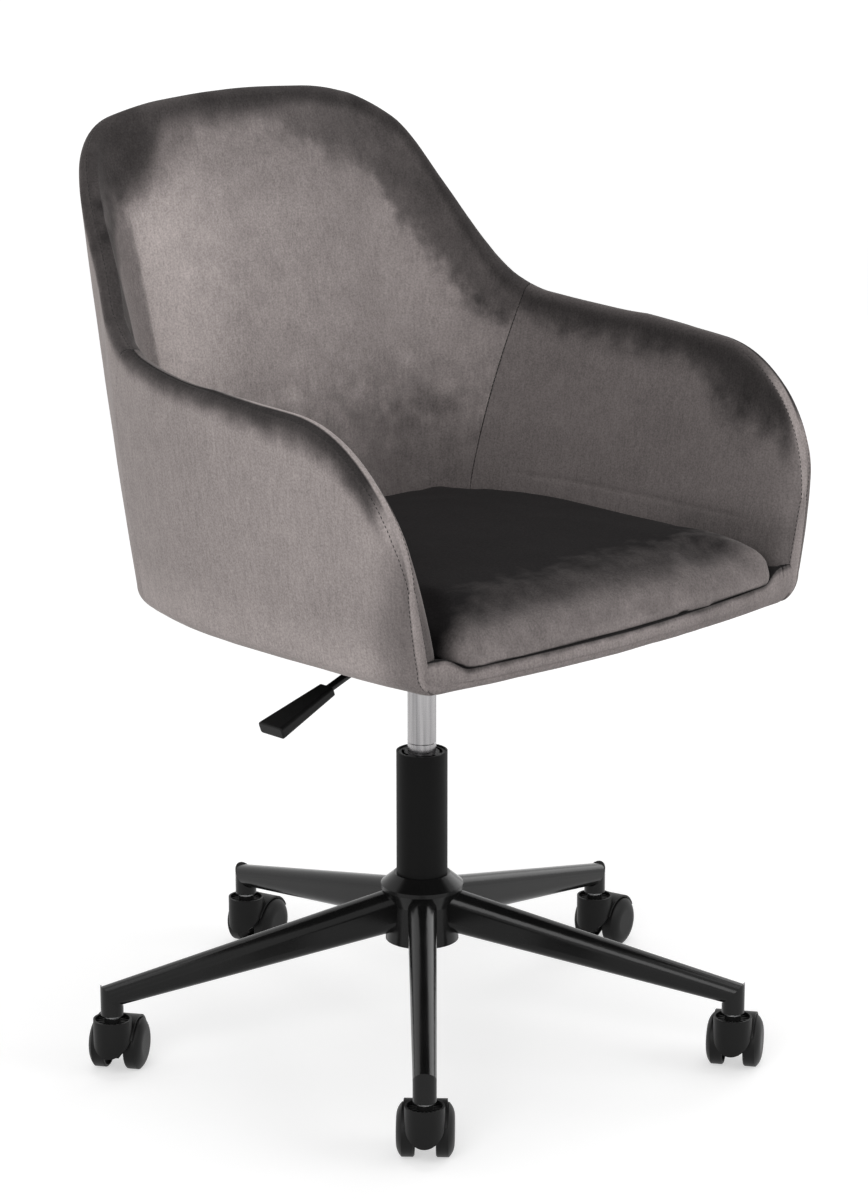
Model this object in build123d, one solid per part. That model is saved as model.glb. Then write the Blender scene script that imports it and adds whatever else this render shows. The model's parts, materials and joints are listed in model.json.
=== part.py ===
from build123d import *
import math
import os

# Swivel office chair with an upholstered tub shell, a gas lift and a five-leg base on casters.
# Millimetres, +Z up, the sitter faces -Y, the origin is on the floor under the column.

# Clearances
FIT = 0.02            # radial room of a pressed or wedged fit
RUN = 0.05            # radial room of a running fit
SOFT_GAP = 0.3        # room round a soft piece
NUT_ROOM = 1.0        # room round a tee nut in the deck pad
SEAT_GAP = 0.3        # room between a moving face and its seat

# Base
LEG_COUNT = 5
FIRST_LEG_ANGLE = 226.4
SOCKET_CIRCLE = 313.6
SOCKET_RADIUS = 11.0
SOCKET_BOTTOM = 62.0
LEG_ROOT_HEIGHT = 46.0
LEG_ROOT_WIDTH = 29.0
LEG_ROOT_MIDDLE = 141.7
LEG_TIP_HEIGHT = 22.3
LEG_TIP_WIDTH = 22.0
LEG_ROUNDNESS = 0.94
LEG_TIP_MIDDLE = 81.2
LEG_WALL = 2.0

# Hub
HUB_BOTTOM = 104.0
HUB_HEIGHT = 68.0
HUB_FOOT_RADIUS = 36.0
HUB_WAIST_RADIUS = 33.0
HUB_WAIST_HEIGHT = 38.0
HUB_COLLAR_RADIUS = 40.5
HUB_COLLAR_HEIGHT = 53.0
HUB_COLLAR_BAND = 4.0
HUB_MOUTH_RADIUS = 27.5

# Column and gas lift
COLUMN_RADIUS = 25.0
COLUMN_FOOT_RADIUS = 24.2
COLUMN_WALL = 1.8
COLUMN_TOP = 296.0
COLUMN_FLOOR = 3.0
COLUMN_FOOT_DROP = 2.0
BUSH_LENGTH = 70.0
BUSH_DROP = 1.0
BUSH_SLOT_RADIUS = 18.6
BUSH_SLOT_WIDTH = 3.0
BUSH_SLOT_DEPTH = 12.0
BUSH_SLOT_SWEEP = 62.0
CYLINDER_RADIUS = 14.0
CYLINDER_WALL = 1.5
CYLINDER_BOTTOM = 170.0
CYLINDER_TOP = 419.0
CYLINDER_TAPER_LENGTH = 40.0
CYLINDER_TAPER_RADIUS = 13.2
CYLINDER_PLUG = 44.0
CYLINDER_MARK_HEIGHT = 305.0
CYLINDER_MARK_DEPTH = 0.5
GLAND_LENGTH = 14.0
ROD_RADIUS = 5.0
ROD_COLLAR_RADIUS = 10.0
ROD_COLLAR_HEIGHT = 4.0
PISTON_MIDDLE = 268.0
PISTON_LENGTH = 14.0
RACE_RADIUS = 14.0
RACE_THICKNESS = 2.0
BALL_RADIUS = 1.6
BALL_CIRCLE = 10.2
BALL_COUNT = 12
CLIP_THICKNESS = 1.5
CLIP_RADIUS = 8.5
CLIP_GROOVE = 1.0
CLIP_MOUTH = 6.4
PIN_RADIUS = 4.0
PIN_LENGTH = 30.0
PIN_STAND = 7.5
PIN_TRAVEL = 5.5

# Seat carrier
PLATE_WIDTH = 170.0
PLATE_DEPTH = 200.0
PLATE_THICKNESS = 3.0
PLATE_CORNER = 14.0
BOLT_SPACING_X = 140.0
BOLT_SPACING_Y = 170.0
BOLT_RADIUS = 4.0
BOLT_HEAD = 5.3
BOLT_HEAD_ACROSS = 13.0
HOUSING_WIDTH = 66.0
HOUSING_DEPTH = 110.0
HOUSING_WALL = 2.5
HOUSING_HEIGHT = 62.0
SOCKET_WALL = 5.0

# Lever
LEVER_Y = -25.0
LEVER_PIVOT_X = -42.0
LEVER_DROOP = 19.6
LEVER_ROD_RADIUS = 4.0
LEVER_REACH = 186.0
LEVER_BOSS_RADIUS = 7.0
LEVER_BOSS_WIDTH = 14.0
LEVER_PIN_RADIUS = 3.0
LEVER_PIN_STAND = 1.0
EAR_THICKNESS = 3.0
EAR_RADIUS = 8.0
FINGER_THICKNESS = 4.0
FINGER_WIDTH = 12.0
PADDLE_LENGTH = 75.0
PADDLE_ROOT_WIDTH = 19.0
PADDLE_TIP_WIDTH = 33.0
PADDLE_ROOT_THICKNESS = 10.0
PADDLE_TIP_THICKNESS = 12.0
PADDLE_EDGE = 1.6

# Shell outline at its underside, seen from above: straight side, side arc, corner arc, back arc
SHELL_BOTTOM = 450.0
SHELL_HALF_WIDTH = 255.0
SHELL_FRONT = -256.0
SIDE_END = -28.0
SIDE_RADIUS = 500.0
SIDE_TURN = 20.0
CORNER_RADIUS = 95.0
CORNER_TURN = 66.0

# Shell wall
ARM_HEIGHT = 244.0
ARM_FALL = 20.0
ARM_FRONT_RADIUS = 125.0
BACK_HEIGHT = 464.0
RIM_THICKNESS = 20.0
WALL_THICKNESS = 35.0
NOSE_DEPTH = 10.0
NOSE_TIP_SHARE = 0.35
UNDER_EDGE_RADIUS = 18.0
OUTER_SWELL = 3.0
ARM_INNER_SWELL = 5.0
BACK_INNER_SWELL = 11.0
FLARE_RATIO = 0.151
FLARE_DIP_RATIO = 0.048
FLARE_DIP_ANGLE = 33.0
FLARE_DIP_SPREAD_ANGLE = 22.0
# Where the wall leans out more, at the middle of an arm and at the back's top corner: station, spread, lean
FLARE_SWELLS = [(0.75, 0.35, 0.016), (2.9, 0.22, 0.015)]
# How far the rim has climbed from arm to back, by station along the outline
RIM_CLIMB = [(1.0, 0.0), (1.65, 0.045), (1.85, 0.105), (2.05, 0.24), (2.4, 0.535), (2.7, 0.815),
             (3.0, 0.94), (3.4, 0.985), (4.0, 1.0)]
SEAM_INDEX = 2.0
BACK_INDEX = 4.0
# Where the wall's section is drawn: shares of the rounded nose and of the arm's front curve, then stations
NOSE_SHARES = [0, 0.1, 0.3, 0.6]
FRONT_SHARES = [0, 0.07, 0.17, 0.31, 0.49, 0.71, 1]
SIDE_STATIONS = [1, 1.25, 1.5, 1.7, 1.85, SEAM_INDEX]
HALF_BACK_STATIONS = [SEAM_INDEX, 2.12, 2.25, 2.4, 2.55, 2.7, 2.85, 3, 3.3, 3.65]

# Seat board and what lies on it
SKIN = 7.0
DECK_THICKNESS = 4.0
BOARD_SETBACK = 16.0
BOARD_LIFT = 11.0
BOARD_THICKNESS = 10.0
DUST_COVER_THICKNESS = 1.2
TEE_FLANGE_RADIUS = 10.0
TEE_FLANGE = 1.5
TEE_BARREL_RADIUS = 5.0
TEE_BARREL = 9.0
RAIL_STAND = 4.0
RAIL_BOW = 16.0
RAIL_EDGE = 8.0

# Seat cushion
CUSHION_HEIGHT = 40.0
CUSHION_FRONT = -280.0
CUSHION_BOW_RADIUS = 3000.0
CUSHION_CORNER = 38.0
# Inset of the cushion's outline at shares of its height: drawn-in foot, full side, crowned top
CUSHION_FORM = [(0.0, 5.0), (0.16, 0.6), (0.42, 0.0), (0.66, 5.0), (0.84, 17.0), (0.95, 33.0), (1.0, 50.0)]

# Casters, with the wheels trailing along each caster's own +X
CASTER_TRAIL_ANGLES = [44.0, 34.0, 14.0, 16.0, 34.0]
CASTER_TRAIL = 22.0
WHEEL_RADIUS = 25.0
WHEEL_INNER_FACE = 10.0
WHEEL_TREAD = 11.5
WHEEL_OUTER_FACE = 26.7
WHEEL_FACE_RADIUS = 13.0
WHEEL_EDGE = 1.2
WHEEL_RECESS_DEPTH = 4.0
WHEEL_BOSS_RADIUS = 6.5
AXLE_RADIUS = 3.0
AXLE_HALF_LENGTH = 23.0
WEB_HALF_WIDTH = 7.0
HOOD_HALF_WIDTH = 20.0
HOOD_THICKNESS = 2.0
HOOD_ROOM = 1.3
HOOD_REAR_ANGLE = 25.0
WEB_BOTTOM = 19.0
CUP_RADIUS = 18.5
CUP_TOP = 57.5
CUP_BOTTOM = 22.0
CUP_WALL = 2.0
CUP_RECESS = 11.5
RIB_COUNT = 16
RIB_THICKNESS = 1.2
RIB_DROP = 2.5
STEM_BOSS_RADIUS = 8.0
STEM_RADIUS = 5.5
STEM_LENGTH = 21.0
STEM_SHOULDER_RADIUS = 8.0
STEM_SHOULDER = 2.5
STEM_FOOT_RADIUS = 4.5
STEM_FOOT = 29.5

# Heights and places that follow from the sizes above
BOARD_BOTTOM = SHELL_BOTTOM + BOARD_LIFT
BOARD_TOP = BOARD_BOTTOM + BOARD_THICKNESS
DECK_TOP = BOARD_TOP + DECK_THICKNESS
BOARD_FRONT = SHELL_FRONT + BOARD_SETBACK
CUSHION_BOTTOM = DECK_TOP + SOFT_GAP
PLATE_TOP = BOARD_BOTTOM - DUST_COVER_THICKNESS
PLATE_BOTTOM = PLATE_TOP - PLATE_THICKNESS
PIN_TOP = CYLINDER_TOP + PIN_STAND
FINGER_BOTTOM = PIN_TOP + SEAT_GAP
LEVER_PIVOT_Z = FINGER_BOTTOM + FINGER_THICKNESS / 2
HOUSING_BOTTOM = PLATE_BOTTOM - HOUSING_HEIGHT
COLUMN_BOTTOM = HUB_BOTTOM - COLUMN_FLOOR - COLUMN_FOOT_DROP
COLUMN_BORE = COLUMN_RADIUS - COLUMN_WALL
BEARING_BOTTOM = COLUMN_BOTTOM + COLUMN_FLOOR
BALL_HEIGHT = BEARING_BOTTOM + RACE_THICKNESS + BALL_RADIUS + RUN
UPPER_RACE_BOTTOM = BALL_HEIGHT + BALL_RADIUS + RUN
ROD_COLLAR_BOTTOM = UPPER_RACE_BOTTOM + RACE_THICKNESS
CLIP_TOP = COLUMN_BOTTOM - SEAT_GAP
PISTON_BOTTOM = PISTON_MIDDLE - PISTON_LENGTH / 2
PISTON_TOP = PISTON_MIDDLE + PISTON_LENGTH / 2
STEM_SHOULDER_BOTTOM = SOCKET_BOTTOM - STEM_SHOULDER
HOOD_INNER = WHEEL_RADIUS + HOOD_ROOM
HOOD_OUTER = HOOD_INNER + HOOD_THICKNESS
FAR = 1000.0


def turned(*points):
    """Solid of revolution about Z from a closed (radius, height) outline."""
    outline = Polyline(*[(radius, 0, height) for radius, height in points], close=True)
    return revolve(make_face(outline), Axis.Z)


def post(radius, low, high):
    """Upright cylinder on the Z axis."""
    return Pos(0, 0, low) * Cylinder(radius, high - low, align=(Align.CENTER, Align.CENTER, Align.MIN))


def block(x, y, z):
    """Box between the pairs of limits x, y and z."""
    size = [pair[1] - pair[0] for pair in (x, y, z)]
    middle = [(pair[0] + pair[1]) / 2 for pair in (x, y, z)]
    return Pos(*middle) * Box(*size)


def spun(piece, angle):
    """Piece turned about the Z axis."""
    return Rot(0, 0, angle) * piece


def along_x(piece):
    """Piece made along Z, laid along +X."""
    return Rot(0, 90, 0) * piece


def along_y(piece):
    """Piece made along Z, laid along +Y."""
    return Rot(-90, 0, 0) * piece


def leg_angle(index):
    """Direction of a leg seen from above."""
    return FIRST_LEG_ANGLE + index * 360 / LEG_COUNT


def leg_section(radius, width, height, middle):
    """Upright rounded section of a leg, across its length."""
    corner = LEG_ROUNDNESS * min(width, height) / 2
    straight = (width / 2 - corner, height / 2 - corner)
    bend = corner * math.sqrt(0.5)
    plane = Plane(origin=(radius, 0, middle), x_dir=(0, 1, 0), z_dir=(1, 0, 0))
    corners, bends = [], []
    for x, y in ((1, 1), (-1, 1), (-1, -1), (1, -1)):
        along, across = (x * straight[0], y * height / 2), (x * width / 2, y * straight[1])
        corners += [across, along] if x == y else [along, across]
        bends += [(x * (straight[0] + bend), y * (straight[1] + bend)), None]
    return section_wire(plane, corners, bends)


def section_wire(plane, corners, bends):
    """Closed wire of lines, or of arcs where a point to pass through is given."""
    edges = []
    for index, start in enumerate(corners):
        end = corners[(index + 1) % len(corners)]
        first, last = plane.from_local_coords(start), plane.from_local_coords(end)
        if bends[index] is None:
            edges.append(Edge.make_line(first, last))
        else:
            edges.append(Edge.make_three_point_arc(first, plane.from_local_coords(bends[index]), last))
    return Wire(edges)


def mitre_cutter(keep_leg):
    """Half space on one side of the slanted joint between a leg's tip and its socket."""
    rise = LEG_TIP_HEIGHT
    run = 2 * SOCKET_RADIUS
    side = 1 if keep_leg else -1
    plane = Plane(origin=(SOCKET_CIRCLE, 0, LEG_TIP_MIDDLE), x_dir=(run, 0, rise), z_dir=(rise, 0, -run))
    return plane * Pos(0, 0, side * FAR / 2) * Box(FAR, FAR, FAR)


def hub_outline():
    """Outside of the hub from its foot to its mouth, as (radius, height)."""
    collar = HUB_BOTTOM + HUB_COLLAR_HEIGHT
    return [(HUB_FOOT_RADIUS, HUB_BOTTOM),
            (HUB_WAIST_RADIUS, HUB_BOTTOM + HUB_WAIST_HEIGHT),
            (HUB_COLLAR_RADIUS, collar),
            (HUB_COLLAR_RADIUS, collar + HUB_COLLAR_BAND),
            (HUB_MOUTH_RADIUS, HUB_BOTTOM + HUB_HEIGHT)]


def base_hub():
    """Hub with a tapered bore for the foot of the column."""
    top = HUB_BOTTOM + HUB_HEIGHT
    return turned((COLUMN_FOOT_RADIUS + FIT, HUB_BOTTOM), *hub_outline(), (COLUMN_RADIUS + FIT, top))


def base_leg():
    """Tapered leg tube along +X, trimmed to the hub and mitred at its tip."""
    reach = SOCKET_CIRCLE + 2 * SOCKET_RADIUS
    root = (0, LEG_ROOT_WIDTH, LEG_ROOT_HEIGHT, LEG_ROOT_MIDDLE)
    tip = (SOCKET_CIRCLE, LEG_TIP_WIDTH, LEG_TIP_HEIGHT, LEG_TIP_MIDDLE)
    share = reach / SOCKET_CIRCLE
    end = [first + (last - first) * share for first, last in zip(root, tip)]
    outside = Solid.make_loft([leg_section(*root), leg_section(*end)], True)
    thin = [0, 2 * LEG_WALL, 2 * LEG_WALL, 0]
    hollow = Solid.make_loft([leg_section(*[size - less for size, less in zip(place, thin)])
                              for place in (root, end)], True)
    hub = turned((0, HUB_BOTTOM), *hub_outline(), (0, HUB_BOTTOM + HUB_HEIGHT))
    return outside - hollow - hub - mitre_cutter(True)


def at_socket(index, piece):
    """Piece moved from the origin to a leg's caster socket."""
    angle = math.radians(leg_angle(index))
    return Pos(SOCKET_CIRCLE * math.cos(angle), SOCKET_CIRCLE * math.sin(angle), 0) * piece


def caster_sockets():
    """Upright sleeves welded under the mitred leg tips."""
    sleeve = post(SOCKET_RADIUS, SOCKET_BOTTOM, LEG_TIP_MIDDLE + LEG_TIP_HEIGHT)
    sleeve -= post(STEM_RADIUS + FIT, 0, FAR)
    sleeve = Pos(SOCKET_CIRCLE, 0, 0) * sleeve - mitre_cutter(False)
    return [spun(sleeve, leg_angle(index)) for index in range(LEG_COUNT)]


def caster_stems():
    """Stems held in the sockets, with a shoulder and a foot that the housings turn on."""
    foot = STEM_SHOULDER_BOTTOM - STEM_FOOT
    stem = post(STEM_RADIUS, SOCKET_BOTTOM, SOCKET_BOTTOM + STEM_LENGTH)
    stem += post(STEM_SHOULDER_RADIUS, STEM_SHOULDER_BOTTOM, SOCKET_BOTTOM)
    stem += post(STEM_FOOT_RADIUS, foot, STEM_SHOULDER_BOTTOM)
    return [at_socket(index, stem) for index in range(LEG_COUNT)]


def at_caster(index, piece):
    """Piece in a caster's own frame, turned the way the caster trails and moved under its socket."""
    return at_socket(index, spun(piece, CASTER_TRAIL_ANGLES[index]))


def on_axle(piece):
    """Piece made along Z, laid along the caster's axle."""
    return Pos(CASTER_TRAIL, 0, WHEEL_RADIUS) * along_y(piece)


def caster_cup():
    """Upright cup round the stem with a rounded lower end and a ribbed recess."""
    rounding = CUP_BOTTOM + CUP_RADIUS
    lower = Pos(0, 0, rounding) * along_x(Cylinder(CUP_RADIUS, FAR))
    lower += block((-FAR, FAR), (-FAR, FAR), (rounding, FAR))
    cup = post(CUP_RADIUS, 0, CUP_TOP) & lower
    floor = CUP_TOP - CUP_RECESS
    recess = post(CUP_RADIUS - CUP_WALL, floor, FAR) - post(STEM_BOSS_RADIUS, 0, FAR)
    half = RIB_THICKNESS / 2
    rib = block((0, CUP_RADIUS), (-half, half), (floor, CUP_TOP - RIB_DROP))
    recess -= [spun(rib, index * 360 / RIB_COUNT) for index in range(RIB_COUNT)]
    boss = post(STEM_BOSS_RADIUS, floor, STEM_SHOULDER_BOTTOM - SEAT_GAP)
    return cup - recess + boss


def caster_housing():
    """Cup, centre web and hood of a twin-wheel caster, hollowed for its wheels, stem and axle."""
    web = on_axle(Cylinder(HOOD_OUTER, 2 * WEB_HALF_WIDTH))
    web &= block((-FAR, FAR), (-FAR, FAR), (WEB_BOTTOM, FAR))
    hood = Cylinder(HOOD_OUTER, 2 * HOOD_HALF_WIDTH) - Cylinder(HOOD_INNER, FAR)
    hood_low = WHEEL_RADIUS + HOOD_OUTER * math.sin(math.radians(HOOD_REAR_ANGLE))
    hood = on_axle(hood) & block((-FAR, FAR), (-FAR, FAR), (hood_low, FAR))
    wheel_room = post(HOOD_INNER, WEB_HALF_WIDTH, FAR)
    housing = caster_cup() + web + hood
    housing -= on_axle(wheel_room)
    housing -= on_axle(Rot(180, 0, 0) * wheel_room)
    housing -= on_axle(Cylinder(AXLE_RADIUS + FIT, FAR))
    bore_bottom = STEM_SHOULDER_BOTTOM - STEM_FOOT - SEAT_GAP
    return housing - post(STEM_FOOT_RADIUS + RUN, bore_bottom, FAR)


def caster_axle():
    """Plain axle pin through the web."""
    return on_axle(Cylinder(AXLE_RADIUS, 2 * AXLE_HALF_LENGTH))


def caster_wheel(side):
    """Wheel with a flat tread, a domed outer face and a recessed inner face, on side 1 or -1."""
    bore = AXLE_RADIUS + RUN
    bore_end = AXLE_HALF_LENGTH + SEAT_GAP
    boss_face = WEB_HALF_WIDTH + SEAT_GAP
    tread_end = WHEEL_INNER_FACE + WHEEL_TREAD
    rim_inner = WHEEL_RADIUS - 2 * WHEEL_EDGE
    recess = WHEEL_INNER_FACE + WHEEL_RECESS_DEPTH
    lines = Polyline((WHEEL_FACE_RADIUS, 0, WHEEL_OUTER_FACE), (0, 0, WHEEL_OUTER_FACE), (0, 0, bore_end),
                     (bore, 0, bore_end), (bore, 0, boss_face), (WHEEL_BOSS_RADIUS, 0, boss_face),
                     (WHEEL_BOSS_RADIUS, 0, recess), (rim_inner, 0, recess),
                     (rim_inner, 0, WHEEL_INNER_FACE), (WHEEL_RADIUS - WHEEL_EDGE, 0, WHEEL_INNER_FACE),
                     (WHEEL_RADIUS, 0, WHEEL_INNER_FACE + WHEEL_EDGE), (WHEEL_RADIUS, 0, tread_end))
    dome_point = ((WHEEL_RADIUS + WHEEL_FACE_RADIUS) / 2 + WHEEL_EDGE, 0,
                  WHEEL_OUTER_FACE - (WHEEL_OUTER_FACE - tread_end) / 3)
    dome = ThreePointArc((WHEEL_RADIUS, 0, tread_end), dome_point, (WHEEL_FACE_RADIUS, 0, WHEEL_OUTER_FACE))
    wheel = revolve(make_face([*lines.edges(), *dome.edges()]), Axis.Z)
    return on_axle(wheel if side > 0 else Rot(180, 0, 0) * wheel)


def column_tube():
    """Outer tube of the gas lift with a tapered foot and a closed bottom."""
    top_of_taper = HUB_BOTTOM + HUB_HEIGHT
    inner_foot = COLUMN_FOOT_RADIUS - COLUMN_WALL
    rod_hole = ROD_RADIUS + SEAT_GAP
    return turned((rod_hole, COLUMN_BOTTOM), (COLUMN_FOOT_RADIUS, COLUMN_BOTTOM),
                  (COLUMN_FOOT_RADIUS, HUB_BOTTOM), (COLUMN_RADIUS, top_of_taper),
                  (COLUMN_RADIUS, COLUMN_TOP), (COLUMN_BORE, COLUMN_TOP), (COLUMN_BORE, top_of_taper),
                  (inner_foot, HUB_BOTTOM), (inner_foot, BEARING_BOTTOM), (rod_hole, BEARING_BOTTOM))


def column_bush():
    """Plastic guide for the cylinder, with four arc slots in its top."""
    top = COLUMN_TOP - BUSH_DROP
    bush = post(COLUMN_BORE - FIT, top - BUSH_LENGTH, top) - post(CYLINDER_RADIUS + RUN, 0, FAR)
    ring = post(BUSH_SLOT_RADIUS + BUSH_SLOT_WIDTH / 2, top - BUSH_SLOT_DEPTH, FAR)
    ring -= post(BUSH_SLOT_RADIUS - BUSH_SLOT_WIDTH / 2, 0, FAR)
    gap = 90 - BUSH_SLOT_SWEEP
    bar = block((0, FAR), (-FAR, 0), (0, FAR))
    for quarter in range(4):
        web = spun(bar, 90 * quarter + gap) & spun(bar, 90 * quarter + 90)
        ring -= web
    return bush - ring


def thrust_race(low):
    """Flat bearing washer round the piston rod."""
    return post(RACE_RADIUS, low, low + RACE_THICKNESS) - post(ROD_RADIUS + RUN, 0, FAR)


def thrust_balls():
    """Balls between the two races."""
    ball = Pos(BALL_CIRCLE, 0, BALL_HEIGHT) * Sphere(BALL_RADIUS)
    return [spun(ball, 360 * index / BALL_COUNT) for index in range(BALL_COUNT)]


def piston_rod():
    """Rod that stands on the thrust bearing, with a groove for its clip."""
    rod = post(ROD_RADIUS, CLIP_TOP - 2 * CLIP_THICKNESS, PISTON_TOP)
    rod += post(ROD_COLLAR_RADIUS, ROD_COLLAR_BOTTOM, ROD_COLLAR_BOTTOM + ROD_COLLAR_HEIGHT)
    groove = post(ROD_RADIUS, CLIP_TOP - CLIP_THICKNESS, CLIP_TOP) - post(ROD_RADIUS - CLIP_GROOVE, 0, FAR)
    return rod - groove


def retaining_clip():
    """Open spring clip in the groove under the column."""
    clip = post(CLIP_RADIUS, CLIP_TOP - CLIP_THICKNESS, CLIP_TOP)
    clip -= post(ROD_RADIUS - CLIP_GROOVE + FIT, 0, FAR)
    return clip - block((0, FAR), (-CLIP_MOUTH / 2, CLIP_MOUTH / 2), (0, FAR))


def piston_head():
    """Piston fixed on the rod inside the cylinder."""
    radius = CYLINDER_RADIUS - CYLINDER_WALL - 2 * RUN
    return post(radius, PISTON_BOTTOM, PISTON_TOP) - post(ROD_RADIUS + FIT, 0, FAR)


def gas_cylinder():
    """Pressure tube with a tapered, plugged top, a bore for the release pin and a fine turned mark."""
    bore = CYLINDER_RADIUS - CYLINDER_WALL
    plug_bottom = CYLINDER_TOP - CYLINDER_PLUG
    taper_bottom = CYLINDER_TOP - CYLINDER_TAPER_LENGTH
    pin_room = PIN_TOP - PIN_LENGTH - PIN_TRAVEL - SEAT_GAP
    depth, mark, radius = CYLINDER_MARK_DEPTH, CYLINDER_MARK_HEIGHT, CYLINDER_RADIUS
    return turned((bore, CYLINDER_BOTTOM), (radius, CYLINDER_BOTTOM), (radius, mark - depth),
                  (radius - depth, mark), (radius, mark + depth), (radius, taper_bottom),
                  (CYLINDER_TAPER_RADIUS, CYLINDER_TOP), (PIN_RADIUS + RUN, CYLINDER_TOP),
                  (PIN_RADIUS + RUN, pin_room), (0, pin_room), (0, plug_bottom), (bore, plug_bottom))


def cylinder_gland():
    """Guide and seal in the open end of the cylinder."""
    radius = CYLINDER_RADIUS - CYLINDER_WALL - FIT
    gland = post(radius, CYLINDER_BOTTOM, CYLINDER_BOTTOM + GLAND_LENGTH)
    return gland - post(ROD_RADIUS + RUN, 0, FAR)


def release_pin():
    """Valve pin in the top of the cylinder, chamfered where the lever's finger presses it."""
    bottom = PIN_TOP - PIN_LENGTH
    edge = PIN_RADIUS / 3
    return turned((0, bottom), (PIN_RADIUS, bottom), (PIN_RADIUS, PIN_TOP - edge),
                  (PIN_RADIUS - 2 * edge, PIN_TOP), (0, PIN_TOP))


def taper_socket():
    """Tapered sleeve of the seat carrier, wedged on the cylinder's top."""
    bottom = CYLINDER_TOP - CYLINDER_TAPER_LENGTH
    outside = CYLINDER_RADIUS + SOCKET_WALL
    return turned((CYLINDER_RADIUS + FIT, bottom), (outside, bottom), (outside, CYLINDER_TOP),
                  (CYLINDER_TAPER_RADIUS + FIT, CYLINDER_TOP))


def bolt_places():
    """Places of the seat bolts."""
    return [(x * BOLT_SPACING_X / 2, y * BOLT_SPACING_Y / 2) for x in (-1, 1) for y in (-1, 1)]


def drilled(piece, radius):
    """Piece with a hole at each seat bolt."""
    for x, y in bolt_places():
        piece -= Pos(x, y, 0) * post(radius, 0, FAR)
    return piece


def seat_plate():
    """Flat plate bolted under the seat board."""
    outline = RectangleRounded(PLATE_WIDTH, PLATE_DEPTH, PLATE_CORNER)
    return drilled(Pos(0, 0, PLATE_BOTTOM) * extrude(outline, PLATE_THICKNESS), BOLT_RADIUS + RUN)


def lift_housing():
    """Folded channel under the plate that holds the socket, with a window for the lever."""
    half = HOUSING_WIDTH / 2
    depth = (-HOUSING_DEPTH / 2, HOUSING_DEPTH / 2)
    inside = half - HOUSING_WALL
    channel = block((-half, half), depth, (HOUSING_BOTTOM, PLATE_BOTTOM))
    channel -= block((-inside, inside), (-FAR, FAR), (HOUSING_BOTTOM + HOUSING_WALL, FAR))
    channel -= post(CYLINDER_RADIUS + SOCKET_WALL + FIT, 0, FAR)
    reach = LEVER_BOSS_WIDTH / 2
    rise = LEVER_BOSS_RADIUS + PIN_TRAVEL
    return channel - block((-FAR, 0), (LEVER_Y - reach, LEVER_Y + reach),
                           (LEVER_PIVOT_Z - rise, LEVER_PIVOT_Z + rise))


def lever_bracket():
    """Two ears on the channel's side that carry the lever's pivot pin."""
    wall = -HOUSING_WIDTH / 2
    ear = along_y(post(EAR_RADIUS, 0, EAR_THICKNESS))
    ear += block((0, wall - LEVER_PIVOT_X), (0, EAR_THICKNESS), (-EAR_RADIUS, EAR_RADIUS))
    ear -= along_y(Cylinder(LEVER_PIN_RADIUS + FIT, FAR))
    inner = LEVER_BOSS_WIDTH / 2 + SEAT_GAP
    places = (LEVER_Y + inner, LEVER_Y - inner - EAR_THICKNESS)
    return [Pos(LEVER_PIVOT_X, y, LEVER_PIVOT_Z) * ear for y in places]


def lever_pivot():
    """Pivot pin of the lever."""
    length = LEVER_BOSS_WIDTH + 2 * (EAR_THICKNESS + SEAT_GAP + LEVER_PIN_STAND)
    return Pos(LEVER_PIVOT_X, LEVER_Y, LEVER_PIVOT_Z) * along_y(Cylinder(LEVER_PIN_RADIUS, length))


def on_lever(piece):
    """Piece made along +Z from the pivot, laid along the drooping lever."""
    return Pos(LEVER_PIVOT_X, LEVER_Y, LEVER_PIVOT_Z) * Rot(0, -90 - LEVER_DROOP, 0) * piece


def lever_rod():
    """Round rod with a pivot boss and a flat finger over the release pin."""
    root = LEVER_REACH - PADDLE_LENGTH
    rod = on_lever(post(LEVER_ROD_RADIUS, 0, root + PADDLE_LENGTH / 2))
    pivot = Pos(LEVER_PIVOT_X, LEVER_Y, LEVER_PIVOT_Z)
    rod += pivot * along_y(Cylinder(LEVER_BOSS_RADIUS, LEVER_BOSS_WIDTH))
    height = (FINGER_BOTTOM, FINGER_BOTTOM + FINGER_THICKNESS)
    half = FINGER_WIDTH / 2
    rod += block((LEVER_PIVOT_X, half), (LEVER_Y - half, LEVER_Y + half), height)
    rod += block((-half, half), (LEVER_Y - half, half), height)
    return rod - pivot * along_y(Cylinder(LEVER_PIN_RADIUS + RUN, FAR))


def lever_paddle():
    """Moulded hand grip, wider and thicker towards its tip, pushed on the rod."""
    sections = []
    for share in (0, 1):
        width = PADDLE_ROOT_WIDTH + (PADDLE_TIP_WIDTH - PADDLE_ROOT_WIDTH) * share
        thickness = PADDLE_ROOT_THICKNESS + (PADDLE_TIP_THICKNESS - PADDLE_ROOT_THICKNESS) * share
        place = Pos(0, 0, LEVER_REACH - PADDLE_LENGTH * (1 - share))
        sections.append(place * RectangleRounded(thickness, width, 2 * PADDLE_EDGE))
    paddle = loft(sections)
    tip = paddle.faces().sort_by(Axis.Z)[-1]
    paddle = fillet(tip.edges(), PADDLE_EDGE)
    paddle -= post(LEVER_ROD_RADIUS + FIT, 0, LEVER_REACH - PADDLE_LENGTH / 2 + SEAT_GAP)
    return on_lever(paddle)


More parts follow.
